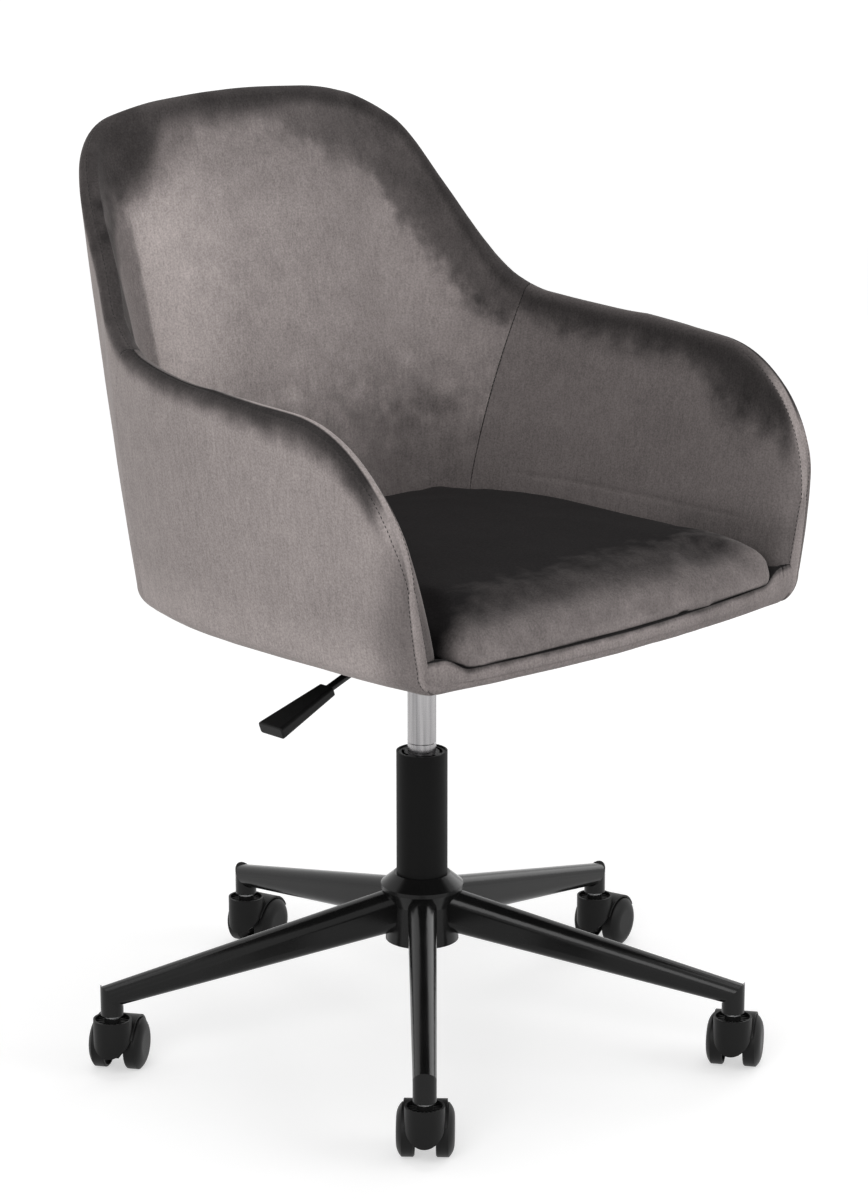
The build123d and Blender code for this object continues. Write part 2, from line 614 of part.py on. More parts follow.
def outline_point(station, inset=0.0):
    """Place and outward direction on the underside outline: 0 right front, 4 back middle, 8 left front."""
    if station > BACK_INDEX:
        x, y, angle = outline_point(2 * BACK_INDEX - station, inset)
        return -x, y, 180 - angle
    if station <= 1:
        return SHELL_HALF_WIDTH - inset, SHELL_FRONT + (SIDE_END - SHELL_FRONT) * station, 0.0
    centre, radius, start, turn = arc_of_outline(min(int(station), 3))
    angle = start + turn * (station - min(int(station), 3))
    turned_by, reach = math.radians(angle), radius - inset
    return centre[0] + reach * math.cos(turned_by), centre[1] + reach * math.sin(turned_by), angle


def arc_of_outline(number):
    """Centre, radius, first direction and turn of the side (1), corner (2) or back (3) arc."""
    if number == 1:
        return (SHELL_HALF_WIDTH - SIDE_RADIUS, SIDE_END), SIDE_RADIUS, 0.0, SIDE_TURN
    before, radius_before, start, turn = arc_of_outline(number - 1)
    start += turn
    direction = (math.cos(math.radians(start)), math.sin(math.radians(start)))
    end = [place + radius_before * part for place, part in zip(before, direction)]
    radius = CORNER_RADIUS if number == 2 else end[0] / direction[0]
    turn = CORNER_TURN if number == 2 else 90 - start
    return [place - radius * part for place, part in zip(end, direction)], radius, start, turn


def smooth_between(knots, at):
    """Monotone cubic curve through (place, value) knots."""
    if at <= knots[0][0]:
        return knots[0][1]
    slopes = [(high[1] - low[1]) / (high[0] - low[0]) for low, high in zip(knots, knots[1:])]
    tangents = [0.0] + [2 * one * two / (one + two) for one, two in zip(slopes, slopes[1:])] + [0.0]
    for index, (low, high) in enumerate(zip(knots, knots[1:])):
        if at <= high[0]:
            break
    width = high[0] - low[0]
    share = min((at - low[0]) / width, 1.0)
    rise = share * share * (3 - 2 * share)
    early = share * (1 - share) ** 2 * width * tangents[index]
    late = share * share * (share - 1) * width * tangents[index + 1]
    return low[1] + (high[1] - low[1]) * rise + early + late


def front_distance(station):
    """How far a station lies behind the shell's front edge, along its straight side."""
    return min(station, 1.0) * (SIDE_END - SHELL_FRONT)


def rim_height(station):
    """Height of the rim above the shell's underside."""
    station = min(station, 2 * BACK_INDEX - station)
    distance = front_distance(station)
    arm = ARM_HEIGHT - ARM_FALL * (1 - min(station, 1.0))
    short = max(ARM_FRONT_RADIUS - distance, 0.0)
    arm -= ARM_FRONT_RADIUS - math.sqrt(ARM_FRONT_RADIUS ** 2 - short ** 2)
    return arm + (BACK_HEIGHT - ARM_HEIGHT) * smooth_between(RIM_CLIMB, station)


def flare(station):
    """Outward lean of the wall, as run over rise."""
    station = min(station, 2 * BACK_INDEX - station)
    angle = outline_point(station)[2]
    dip = FLARE_DIP_RATIO * math.exp(-((angle - FLARE_DIP_ANGLE) / FLARE_DIP_SPREAD_ANGLE) ** 2)
    swell = sum(more * math.exp(-((station - middle) / spread) ** 2) for middle, spread, more in FLARE_SWELLS)
    return FLARE_RATIO - dip + swell


def station_plane(station):
    """Upright plane across the wall: local X outward, local Y up from the underside."""
    x, y, angle = outline_point(station)
    direction = (math.cos(math.radians(angle)), math.sin(math.radians(angle)), 0)
    return Plane(origin=(x, y, SHELL_BOTTOM), x_dir=direction, z_dir=(direction[1], -direction[0], 0))


def nose_share(station):
    """Share of the full wall thickness left near the rounded front edge of an arm."""
    distance = min(front_distance(min(station, 2 * BACK_INDEX - station)), NOSE_DEPTH)
    rounding = math.sqrt(1 - (1 - distance / NOSE_DEPTH) ** 2)
    return NOSE_TIP_SHARE + (1 - NOSE_TIP_SHARE) * rounding


def pad_section(station):
    """Closed section of the padded wall: rounded under-edge, swelled faces, rounded rim."""
    lean, height, share = flare(station), rim_height(station), nose_share(station)
    back = smooth_between(RIM_CLIMB, min(station, 2 * BACK_INDEX - station))
    swell = ARM_INNER_SWELL + (BACK_INNER_SWELL - ARM_INNER_SWELL) * back
    rim = RIM_THICKNESS * share / 2
    edge = UNDER_EDGE_RADIUS * share
    draw_in = RIM_THICKNESS * (1 - share) / 2
    bend = math.sqrt(0.5)
    crest = lean * height - RIM_THICKNESS / 2
    shoulder = height - rim
    foot = -draw_in - WALL_THICKNESS * share
    corners = [(-draw_in - edge, 0), (lean * edge - draw_in, edge), (crest + rim, shoulder),
               (crest, height), (crest - rim, shoulder), (foot, 0)]
    outer_middle = ((corners[1][0] + corners[2][0]) / 2 + OUTER_SWELL * share, (edge + shoulder) / 2)
    inner_middle = ((corners[4][0] + foot) / 2 - swell * share, shoulder / 2)
    bends = [(-draw_in - edge * (1 - bend), edge * (1 - bend)), outer_middle,
             (crest + rim * bend, shoulder + rim * bend), (crest - rim * bend, shoulder + rim * bend),
             inner_middle, None]
    return section_wire(station_plane(station), corners, bends)


def front_stations(distances):
    """Stations at distances behind the shell's front edge, and halfway along the rest of the side."""
    side = SIDE_END - SHELL_FRONT
    return [distance / side for distance in [*distances, (ARM_FRONT_RADIUS + side) / 2]]


def front_curve(start, shares):
    """Distances behind the front edge, from start to the end of the arm's front curve."""
    return [start + (ARM_FRONT_RADIUS - start) * share for share in shares]


def arm_stations():
    """Stations of an arm pad, close together round its front corner."""
    nose = [NOSE_DEPTH * share for share in NOSE_SHARES]
    return front_stations(nose + front_curve(NOSE_DEPTH, FRONT_SHARES)) + SIDE_STATIONS


def other_half(stations):
    """Stations of one half, mirrored to the other half in the same sense of travel."""
    return [2 * BACK_INDEX - station for station in reversed(stations)]


def back_stations():
    """Stations across the back, from one seam to the other."""
    return [*HALF_BACK_STATIONS, BACK_INDEX, *other_half(HALF_BACK_STATIONS)]


def board_void():
    """Room for the seat board inside the padding."""
    outline = seat_outline(SKIN - SOFT_GAP, BOARD_FRONT - SOFT_GAP)
    return Pos(0, 0, BOARD_BOTTOM - SOFT_GAP) * extrude(outline, BOARD_THICKNESS + 2 * SOFT_GAP)


def right_arm_pad():
    """Upholstered arm on the +X side, grooved for the seat board."""
    return Solid.make_loft([pad_section(station) for station in arm_stations()]) - board_void()


def back_pad():
    """Upholstered back between the two corner seams, grooved for the seat board."""
    return Solid.make_loft([pad_section(station) for station in back_stations()]) - board_void()


def seat_outline(inset, front):
    """Face inside the shell's outline, inset from it, with a straight front edge."""
    points = [outline_point(station, inset)[:2] for station in (1, 1.5, 2, 2.5, 3, 4)]
    mirrored = [(-x, y) for x, y in reversed(points)]
    side = points[0][0]
    return make_face([Line((side, front), points[0]), ThreePointArc(*points[0:3]),
                      ThreePointArc(*points[2:5]), ThreePointArc(points[4], points[5], mirrored[1]),
                      ThreePointArc(*mirrored[1:4]), ThreePointArc(*mirrored[3:6]),
                      Line(mirrored[5], (-side, front)), Line((-side, front), (side, front))])


def seat_board():
    """Plywood board that closes the tub, drilled for the tee nuts."""
    board = Pos(0, 0, BOARD_BOTTOM) * extrude(seat_outline(SKIN, BOARD_FRONT), BOARD_THICKNESS)
    return drilled(board, TEE_BARREL_RADIUS + FIT)


def deck_pad():
    """Felt sheet on the board, between the arms and the back, with room for the tee nuts."""
    sheet = seat_outline(WALL_THICKNESS + SOFT_GAP, BOARD_FRONT)
    pad = Pos(0, 0, BOARD_TOP + SOFT_GAP) * extrude(sheet, DECK_THICKNESS - SOFT_GAP)
    return drilled(pad, TEE_FLANGE_RADIUS + NUT_ROOM)


def dust_cover():
    """Thin cloth under the board, clamped by the seat plate."""
    outline = seat_outline(WALL_THICKNESS + SOFT_GAP, BOARD_FRONT)
    return drilled(Pos(0, 0, PLATE_TOP) * extrude(outline, DUST_COVER_THICKNESS), BOLT_RADIUS + RUN)


def tee_nuts():
    """Tee nuts pushed into the board from above."""
    nut = post(TEE_BARREL_RADIUS, BOARD_TOP - TEE_BARREL, BOARD_TOP)
    nut += post(TEE_FLANGE_RADIUS, BOARD_TOP, BOARD_TOP + TEE_FLANGE)
    nut -= post(BOLT_RADIUS + FIT, 0, FAR)
    return [Pos(x, y, 0) * nut for x, y in bolt_places()]


def plate_bolts():
    """Hexagon bolts from the plate into the tee nuts."""
    head = extrude(RegularPolygon(BOLT_HEAD_ACROSS / 2, 6, major_radius=False), -BOLT_HEAD)
    bolt = Pos(0, 0, PLATE_BOTTOM) * head + post(BOLT_RADIUS, PLATE_BOTTOM, BOARD_TOP + TEE_FLANGE)
    return [Pos(x, y, 0) * bolt for x, y in bolt_places()]


def front_rail():
    """Padded strip between the arms, under the cushion's front edge."""
    end = SHELL_HALF_WIDTH - WALL_THICKNESS - SOFT_GAP
    back = BOARD_FRONT - SOFT_GAP
    front = SHELL_FRONT - RAIL_STAND
    bow = ThreePointArc((-end, front), (0, front - RAIL_BOW), (end, front))
    sides = Polyline((end, front), (end, back), (-end, back), (-end, front))
    plan = make_face([*bow.edges(), *sides.edges()])
    rail = Pos(0, 0, SHELL_BOTTOM) * extrude(plan, DECK_TOP - SHELL_BOTTOM)
    return fillet(rail.edges().filter_by(GeomType.CIRCLE), RAIL_EDGE)


def cushion_wire(inset, height):
    """Outline of the cushion at one height: bowed front, rounded corners, back along the shell."""
    points = [outline_point(station, WALL_THICKNESS + inset)[:2] for station in (1, 1.5, 2, 2.5, 3, 4)]
    mirrored = [(-x, y) for x, y in reversed(points)]
    side = points[0][0]
    bow_centre = CUSHION_FRONT + inset + CUSHION_BOW_RADIUS
    corner_x = side - CUSHION_CORNER
    corner_y = bow_centre - math.sqrt((CUSHION_BOW_RADIUS - CUSHION_CORNER) ** 2 - corner_x ** 2)
    angle = math.atan2(corner_y - bow_centre, corner_x)
    touch = (CUSHION_BOW_RADIUS * math.cos(angle), bow_centre + CUSHION_BOW_RADIUS * math.sin(angle))
    turn = (corner_x + CUSHION_CORNER * math.cos(angle / 2),
            corner_y + CUSHION_CORNER * math.sin(angle / 2))
    corners = [(side, corner_y), points[0], points[2], points[4], mirrored[1], mirrored[3], mirrored[5],
               (-side, corner_y), (-touch[0], touch[1]), touch]
    bends = [None, points[1], points[3], points[5], mirrored[2], mirrored[4], None, (-turn[0], turn[1]),
             (0, CUSHION_FRONT + inset), turn]
    return section_wire(Plane.XY.offset(height), corners, bends)


def seat_cushion():
    """Loose seat cushion with drawn-in foot and crowned top."""
    return Solid.make_loft([cushion_wire(inset, CUSHION_BOTTOM + share * CUSHION_HEIGHT)
                            for share, inset in CUSHION_FORM])


def chair():
    """Every piece of the chair by node name."""
    right_arm = right_arm_pad()
    pieces = {"base_hub": base_hub(), "caster_sockets": caster_sockets(), "caster_stems": caster_stems(),
              "column_tube": column_tube(), "column_bush": column_bush(),
              "thrust_race_lower": thrust_race(BEARING_BOTTOM), "thrust_balls": thrust_balls(),
              "thrust_race_upper": thrust_race(UPPER_RACE_BOTTOM), "piston_rod": piston_rod(),
              "piston_head": piston_head(), "retaining_clip": retaining_clip(),
              "gas_cylinder": gas_cylinder(), "cylinder_gland": cylinder_gland(),
              "release_pin": release_pin(), "taper_socket": taper_socket(), "seat_plate": seat_plate(),
              "lift_housing": lift_housing(), "lever_bracket": lever_bracket(),
              "lever_pivot": lever_pivot(), "lever_rod": lever_rod(), "lever_paddle": lever_paddle(),
              "plate_bolts": plate_bolts(), "tee_nuts": tee_nuts(), "seat_board": seat_board(),
              "deck_pad": deck_pad(), "dust_cover": dust_cover(), "right_arm_pad": right_arm,
              "left_arm_pad": mirror(right_arm, about=Plane.YZ), "back_pad": back_pad(),
              "front_rail": front_rail(), "seat_cushion": seat_cushion()}
    leg = base_leg()
    caster = {"caster_housing": caster_housing(), "caster_axle": caster_axle(),
              "wheel_left": caster_wheel(1), "wheel_right": caster_wheel(-1)}
    for index in range(LEG_COUNT):
        pieces[f"base_leg_{index + 1}"] = spun(leg, leg_angle(index))
        for name, piece in caster.items():
            pieces[f"{name}_{index + 1}"] = at_caster(index, piece)
    return pieces


def write(pieces):
    """One file for each node, in parts."""
    os.makedirs("parts", exist_ok=True)
    for name, piece in pieces.items():
        group = piece if isinstance(piece, list) else [piece]
        solids = [solid for item in group for solid in item.solids()]
        export_step(solids[0] if len(solids) == 1 else Compound(children=solids), f"parts/{name}.step")


write(chair())
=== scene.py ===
import json
import math

import bmesh
import bpy
import numpy as np
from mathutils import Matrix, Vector, noise


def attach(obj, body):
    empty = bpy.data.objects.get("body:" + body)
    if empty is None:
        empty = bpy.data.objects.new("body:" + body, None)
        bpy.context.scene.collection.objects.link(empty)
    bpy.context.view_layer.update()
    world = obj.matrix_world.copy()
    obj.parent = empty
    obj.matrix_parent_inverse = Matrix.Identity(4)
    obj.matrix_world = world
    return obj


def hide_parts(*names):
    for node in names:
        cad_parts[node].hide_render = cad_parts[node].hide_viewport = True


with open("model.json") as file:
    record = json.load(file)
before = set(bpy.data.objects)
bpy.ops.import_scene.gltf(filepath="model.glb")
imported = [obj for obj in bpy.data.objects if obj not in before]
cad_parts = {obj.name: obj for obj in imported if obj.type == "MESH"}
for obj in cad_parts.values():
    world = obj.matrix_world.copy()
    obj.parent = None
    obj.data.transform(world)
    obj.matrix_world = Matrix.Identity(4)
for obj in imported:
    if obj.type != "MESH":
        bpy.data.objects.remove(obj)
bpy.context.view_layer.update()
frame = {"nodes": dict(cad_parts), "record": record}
nodes = frame["nodes"]

# Camera, solved from the photograph, in metres, degrees and millimetres of lens and sensor
CAMERA_PLACE = (-2.2625, -2.3429, 1.296)
CAMERA_AZIMUTH = -44.0
CAMERA_PITCH = 14.616
CAMERA_YAW = 0.206
CAMERA_LENS = 105.17
CAMERA_SENSOR = 36

# Shell of the seat, the sizes of the CAD source in metres and degrees
SHELL_BOTTOM = 0.450
SHELL_HALF_WIDTH = 0.255
SHELL_FRONT = -0.256
SIDE_END = -0.028
SIDE_RADIUS = 0.500
SIDE_TURN = 20.0
CORNER_RADIUS = 0.095
CORNER_TURN = 66.0
ARM_HEIGHT = 0.244
ARM_FALL = 0.020
ARM_FRONT_RADIUS = 0.125
BACK_HEIGHT = 0.464
RIM_THICKNESS = 0.020
WALL_THICKNESS = 0.035
NOSE_DEPTH = 0.010
NOSE_TIP_SHARE = 0.35
NOSE_INNER_SHARE = 0.55
UNDER_EDGE_RADIUS = 0.018
OUTER_SWELL = 0.003
ARM_INNER_SWELL = 0.005
BACK_INNER_SWELL = 0.011
FLARE = 0.151
FLARE_DIP = 0.048
FLARE_DIP_ANGLE = 33.0
FLARE_DIP_SPREAD = 22.0
# Middle station, spread and amount of each extra lean
FLARE_SWELLS = [(0.75, 0.35, 0.016), (2.9, 0.22, 0.015)]
# Station and share of the climb from the arms' rim to the back's rim
RIM_CLIMB = [(1.0, 0.0), (1.65, 0.045), (1.85, 0.105), (2.05, 0.24), (2.4, 0.535), (2.7, 0.815),
             (3.0, 0.94), (3.4, 0.985), (4.0, 1.0)]
SEAM_STATION = 2.0
BACK_STATION = 4.0
LAST_STATION = 8.0
FOOT_ROUNDING = 0.004
CORNER_DROP_GAIN = 0.35
CORNER_DROP_SPREAD = 0.05
# Extra height of the left arm's rim, which is stuffed a little fuller than the right one's
LEFT_ARM_FULLNESS = 0.0045
# Stations over which that fullness grows from the front and dies out behind
FULLNESS_RISE, FULLNESS_FALL = (0.04, 0.34), (1.28, 0.40)

# Mesh of the shell
ROW_SPACING = 0.004
NOSE_ROWS = [0.0, 0.0004, 0.0011, 0.0021, 0.0034, 0.005, 0.0074]
SEAM_ROWS = [0.0, 0.0003, 0.0007, 0.0012, 0.002, 0.0034]
BACK_BASE_ROWS = 400
RIM_STEPS = 16
FACE_STEPS = 96
EDGE_STEPS = 12
BASE_STEPS = 4
HALF_STEPS = RIM_STEPS + FACE_STEPS + EDGE_STEPS + BASE_STEPS
LOOP = 2 * HALF_STEPS
GUSSET_STEPS = 10
GUSSET_SWELL = 0.0012
# Distance from the corner seam over which the front gusset's inner seam dies out
GUSSET_FADE = (0.25, 0.32)

# Sewing; seams along the rim are placed by steps of the wall's section from its crest
RIM_SEAM_STEP = 2
RIM_SEAM_FRONT_STEP = 8
GUSSET_SEAM_STEP = 10
SEAM_DEPTH = 0.0006
SEAM_WIDTH = 0.0010
SEAM_PUFF = 0.0002
SEAM_ROLL = 0.0008
SEAM_LIP = 0.005
STITCH_PITCH = 0.0044
STITCH_LENGTH = 0.0032
STITCH_RADIUS = 0.00042
STITCH_SIDES = 6
# Share of a stitch's length, thickness and height above the cloth, in stitch radii, of each ring
STITCH_RINGS = [(-0.5, 0.55, -1.0), (-0.36, 0.9, -0.1), (0.0, 1.0, 0.35), (0.36, 0.9, -0.1),
                (0.5, 0.55, -1.0)]
# Lean of the corner seams, in stations at the rim, and how it dies out with the distance from the rim
SEAM_SLANT = 0.24
OUTER_SLANT_REACH, OUTER_SLANT_POWER = 0.16, 2.2
INNER_SLANT_REACH, INNER_SLANT_POWER = 0.242, 1.15
ARM_SLANT_START = 1.3
BACK_SLANT_END = 2.6

# Folds: waves a metre and height of the cloth's unevenness, then the tuck at an arm's front, the crease
# above the cushion and the slanting creases low on the back
SHELL_WAVES = [(11, 0.0005), (38, 0.0002)]
RAIL_WAVES = [(20, 0.0006), (60, 0.0002)]
CUSHION_WAVES = [(9, 0.0012), (26, 0.0005)]
NOSE_WAVE_SHARE = 0.3
TUCK_HEIGHT, TUCK_WIDTH, TUCK_DEPTH = 0.031, 0.0014, 0.0016
CREASE_HEIGHT, CREASE_WIDTH, CREASE_DEPTH = 0.074, 0.0016, 0.0009
BACK_CREASE_SLOPE, BACK_CREASE_DEPTH = 28.0, 0.0020
BACK_CREASE_WAVES_ALONG, BACK_CREASE_WAVES_ACROSS = 12, 90
BACK_CREASE_STATION, BACK_CREASE_STATION_SPREAD = 2.6, 0.5
BACK_CREASE_HEIGHT, BACK_CREASE_HEIGHT_SPREAD = 0.125, 0.045

# Lay of the pile with painted shade, from 0 pale to 1 dark; the dark values paint the shade of up-facing and
# shaded cloth
OUTSIDE_LAY_AND_SHADE = 0.15
ARM_INSIDE_LAY_AND_SHADE = 0.50
STRIP_LAY_AND_LIGHT = 0.22
GUSSET_LAY_AND_SHADE, GUSSET_LAY_AND_SHADE_GAIN, GUSSET_RAGGED = 0.18, 0.20, 0.1
BACK_DARKEST_LAY_AND_SHADE = 0.86
RAIL_LAY_AND_SHADE = 0.34
# Station and distance from the crest of the edge of the dark band of painted shade inside the back
BACK_BAND = [(1.7, 0.045), (2.0, 0.062), (2.4, 0.095), (2.72, 0.118), (2.93, 0.078), (3.2, 0.075),
             (3.5, 0.060), (3.9, 0.034), (4.4, 0.038), (4.8, 0.085), (5.4, 0.095), (6.0, 0.055), (6.3, 0.040)]
BACK_BAND_HALF_WIDTH = 0.022
# Distance behind the cushion's front edge, and the lay of the pile with painted shade there: pale on the
# front roll, dark on the up-facing top
CUSHION_LAY_AND_SHADE = [(0.0, 0.37), (0.005, 0.40), (0.012, 0.48), (0.025, 0.68), (0.036, 0.84), (0.05, 0.92),
               (0.065, 0.97), (0.08, 1.01), (0.12, 1.06)]

# Front rail, with its gathered pleats at the right end
RAIL_HALF_LENGTH = 0.2197
RAIL_BACK = -0.2403
RAIL_FRONT = -0.260
RAIL_BOW = 0.016
RAIL_TOP = 0.4675
RAIL_EDGE = 0.008
RAIL_ROWS = 180
RAIL_STEPS = 10
RAIL_SWELL = 0.0016
RAIL_REACH = 0.2475
RAIL_TOP_EDGE = 0.004
RAIL_CREST = 0.0032
RAIL_TILT = 0.0045
RAIL_RISE_START, RAIL_RISE_END = 0.195, 0.224
RAIL_RISE = 0.012
RAIL_TUCK_START = 0.2435
RAIL_TUCK = 0.0035
GATHER_PLACE, GATHER_SPREAD = 0.225, 0.012
PLEAT_PITCH, PLEAT_DEPTH = 0.0061, 0.0013

# Cushion
CUSHION_BOTTOM = 0.4753
CUSHION_HEIGHT = 0.040
CUSHION_FRONT = -0.280
CUSHION_BOW_RADIUS = 3.0
CUSHION_CORNER = 0.024
CUSHION_CROWN = 0.006
CUSHION_CENTRE = (0.0, -0.05)
CUSHION_SHRINK = 0.003
CUSHION_BACK_DROP = 0.008
CUSHION_LOWEST = RAIL_TOP - 0.0002
CUSHION_STEPS = 240
CUSHION_LEVELS = 22
CUSHION_TOP_RINGS = 14
CUSHION_LAST_RING_SHARE = 0.04
# Points of the outline's wall, corner and bow, before they are spaced evenly
CUSHION_WALL_POINTS, CUSHION_CORNER_POINTS, CUSHION_BOW_POINTS = 91, 20, 40
# Distances behind and ahead of the rail's back between which the underside comes down on the rail
OVERHANG_START, OVERHANG_END = 0.006, 0.008
CUSHION_VOXEL = 0.005
CUSHION_PRESSURE = 4.0
# Upward part of the normal under which the cushion's cloth is held while it fills
CUSHION_HELD = -0.6
CUSHION_CAP = 0.008
SWELL_FRAMES = 20
SETTLE_ROUNDS = 6
# Share of the height and inset from the widest outline
CUSHION_FORM = [(0.0, 0.005), (0.16, 0.0006), (0.42, 0.0), (0.66, 0.005), (0.84, 0.017), (0.95, 0.033),
                (1.0, 0.050)]

# Colour of the pile by its lay and painted shade, from pale to dark, even to the eye
VELVET_LAY_AND_SHADE = [(0.0, (0.475, 0.421, 0.408)), (0.25, (0.296, 0.262, 0.255)), (0.5, (0.163, 0.144, 0.141)),
              (0.75, (0.071, 0.0635, 0.0625)), (1.0, (0.0125, 0.0115, 0.0118))]
# Shade, gloss, roughness, grains a metre and strength of the grain of each black surface
BLACKS = {"powder_coat": (0.006, 0.22, 0.20, 1100, 0.05), "matt_coat": (0.004, 0.10, 0.52, 1500, 0.12),
          "black_plastic": (0.008, 0.14, 0.42, 2600, 0.2), "wheel_nylon": (0.006, 0.16, 0.44, 2100, 0.16)}

# Studio: name, place, size and power of each soft lamp
LAMPS = [("key", (-3.1, -1.7, 2.2), (2.2, 2.2), 62), ("front", (1.7, -3.2, 1.9), (2.4, 2.0), 38),
         ("top", (0.3, 0.2, 3.6), (2.6, 2.6), 30), ("right", (3.4, 0.6, 1.8), (1.8, 2.2), 16)]
LAMP_TARGET = (0, 0, 0.5)
WORLD_LIGHT = 0.45
FLOOR_REACH = 30
FLOOR_SHADE = 0.62
# Distance from the chair, and the floor's own brightness there, so that its white is even
FLOOR_GLOW_REACH = (0.8, 8.0)
FLOOR_GLOW = (0.53, 0.83)


def ease(low, high, value):
    """0 below low, 1 above high, and a smooth rise between them."""
    share = np.clip((np.asarray(value, float) - low) / (high - low), 0, 1)
    return share * share * (3 - 2 * share)


def bell(distance, width):
    """1 at no distance, falling smoothly to 0 a few widths away."""
    return np.exp(-(np.asarray(distance, float) / width) ** 2)


def ripple(points, scale):
    """Smooth noise from -1 to 1 at each point, with so many waves a metre."""
    return np.array([noise.noise(Vector(place)) for place in np.asarray(points) * scale])


def uneven(points, waves):
    """Soft unevenness of cloth pulled over foam."""
    return sum(height * ripple(points, scale) for scale, height in waves)


def run_length(points):
    """Distance along a line of points from its first."""
    return np.append(0, np.cumsum(np.linalg.norm(np.diff(points, axis=0), axis=1)))


def sampled(where, reach, values):
    """Values along a line, read off at distances from its first point."""
    return np.column_stack([np.interp(where, reach, column) for column in np.transpose(values)])


def heading(angle):
    """Part across and part ahead of a direction in degrees."""
    return math.cos(math.radians(angle)), math.sin(math.radians(angle))


def arc_of_outline(number):
    """Centre, radius, first direction and turn of the side (1), corner (2) or back (3) arc."""
    if number == 1:
        return (SHELL_HALF_WIDTH - SIDE_RADIUS, SIDE_END), SIDE_RADIUS, 0.0, SIDE_TURN
    before, radius_before, start, turn = arc_of_outline(number - 1)
    start += turn
    direction = heading(start)
    end = [place + radius_before * part for place, part in zip(before, direction)]
    radius = CORNER_RADIUS if number == 2 else end[0] / direction[0]
    turn = CORNER_TURN if number == 2 else 90 - start
    return [place - radius * part for place, part in zip(end, direction)], radius, start, turn


def outline_point(station, inset=0.0):
    """Place and outward direction on the underside outline: 0 right front, 4 back middle, 8 left front."""
    if station > BACK_STATION:
        x, y, angle = outline_point(LAST_STATION - station, inset)
        return -x, y, 180 - angle
    if station <= 1:
        return SHELL_HALF_WIDTH - inset, SHELL_FRONT + (SIDE_END - SHELL_FRONT) * station, 0.0
    number = min(int(station), 3)
    centre, radius, start, turn = arc_of_outline(number)
    angle = start + turn * (station - number)
    x, y = (place + (radius - inset) * part for place, part in zip(centre, heading(angle)))
    return x, y, angle


def smooth_between(knots, at):
    """Monotone cubic curve through (place, value) knots."""
    if at <= knots[0][0]:
        return knots[0][1]
    slopes = [(high[1] - low[1]) / (high[0] - low[0]) for low, high in zip(knots, knots[1:])]
    tangents = [0.0] + [2 * one * two / (one + two) for one, two in zip(slopes, slopes[1:])] + [0.0]
    for index, (low, high) in enumerate(zip(knots, knots[1:])):
        if at <= high[0]:
            break
    width = high[0] - low[0]
    share = min((at - low[0]) / width, 1.0)
    rise = share * share * (3 - 2 * share)
    early = share * (1 - share) ** 2 * width * tangents[index]
    late = share * share * (share - 1) * width * tangents[index + 1]
    return low[1] + (high[1] - low[1]) * rise + early + late


def near_half(station):
    """The station's twin on the right half."""
    return min(station, LAST_STATION - station)


def front_distance(station):
    """How far a station lies behind the shell's front edge, along its straight side."""
    return min(near_half(station), 1.0) * (SIDE_END - SHELL_FRONT)


def rim_height(station):
    """Height of the rim above the shell's underside."""
    arm = ARM_HEIGHT - ARM_FALL * (1 - min(near_half(station), 1.0))
    short = max(ARM_FRONT_RADIUS - front_distance(station), 0.0)
    arm -= ARM_FRONT_RADIUS - math.sqrt(ARM_FRONT_RADIUS ** 2 - short ** 2)
    return arm + (BACK_HEIGHT - ARM_HEIGHT) * smooth_between(RIM_CLIMB, near_half(station))


def flare(station):
    """Outward lean of the wall, as run over rise."""
    station = near_half(station)
    angle = outline_point(station)[2]
    lean = FLARE - FLARE_DIP * math.exp(-((angle - FLARE_DIP_ANGLE) / FLARE_DIP_SPREAD) ** 2)
    return lean + sum(more * math.exp(-((station - middle) / spread) ** 2)
                      for middle, spread, more in FLARE_SWELLS)


def nose_share(station, tip):
    """Share of the full wall thickness left near an arm's rounded front edge, from its share at the tip."""
    distance = min(front_distance(station), NOSE_DEPTH)
    return tip + (1 - tip) * math.sqrt(1 - (1 - distance / NOSE_DEPTH) ** 2)


def bowed(start, middle, end, steps):
    """Points after start along a shallow bow through middle to end."""
    share = np.linspace(0, 1, steps + 1)[1:, None]
    start, middle, end = (np.array(point, float) for point in (start, middle, end))
    return start + (end - start) * share + 4 * share * (1 - share) * (middle - (start + end) / 2)


def round_bend(centre, reach, first, last, steps):
    """Points after the first angle to the last, in degrees, on an arc with one reach or one across and up."""
    angles = np.radians(np.linspace(first, last, steps + 1)[1:])
    return np.array(centre) + np.column_stack([np.cos(angles), np.sin(angles)]) * reach


def face_lean(start, middle, end):
    """Angle in degrees from upright at which a bowed face sets off downward from its start."""
    across, up = (4 * middle[axis] - 3 * start[axis] - end[axis] for axis in range(2))
    return math.degrees(math.atan2(across, -up))


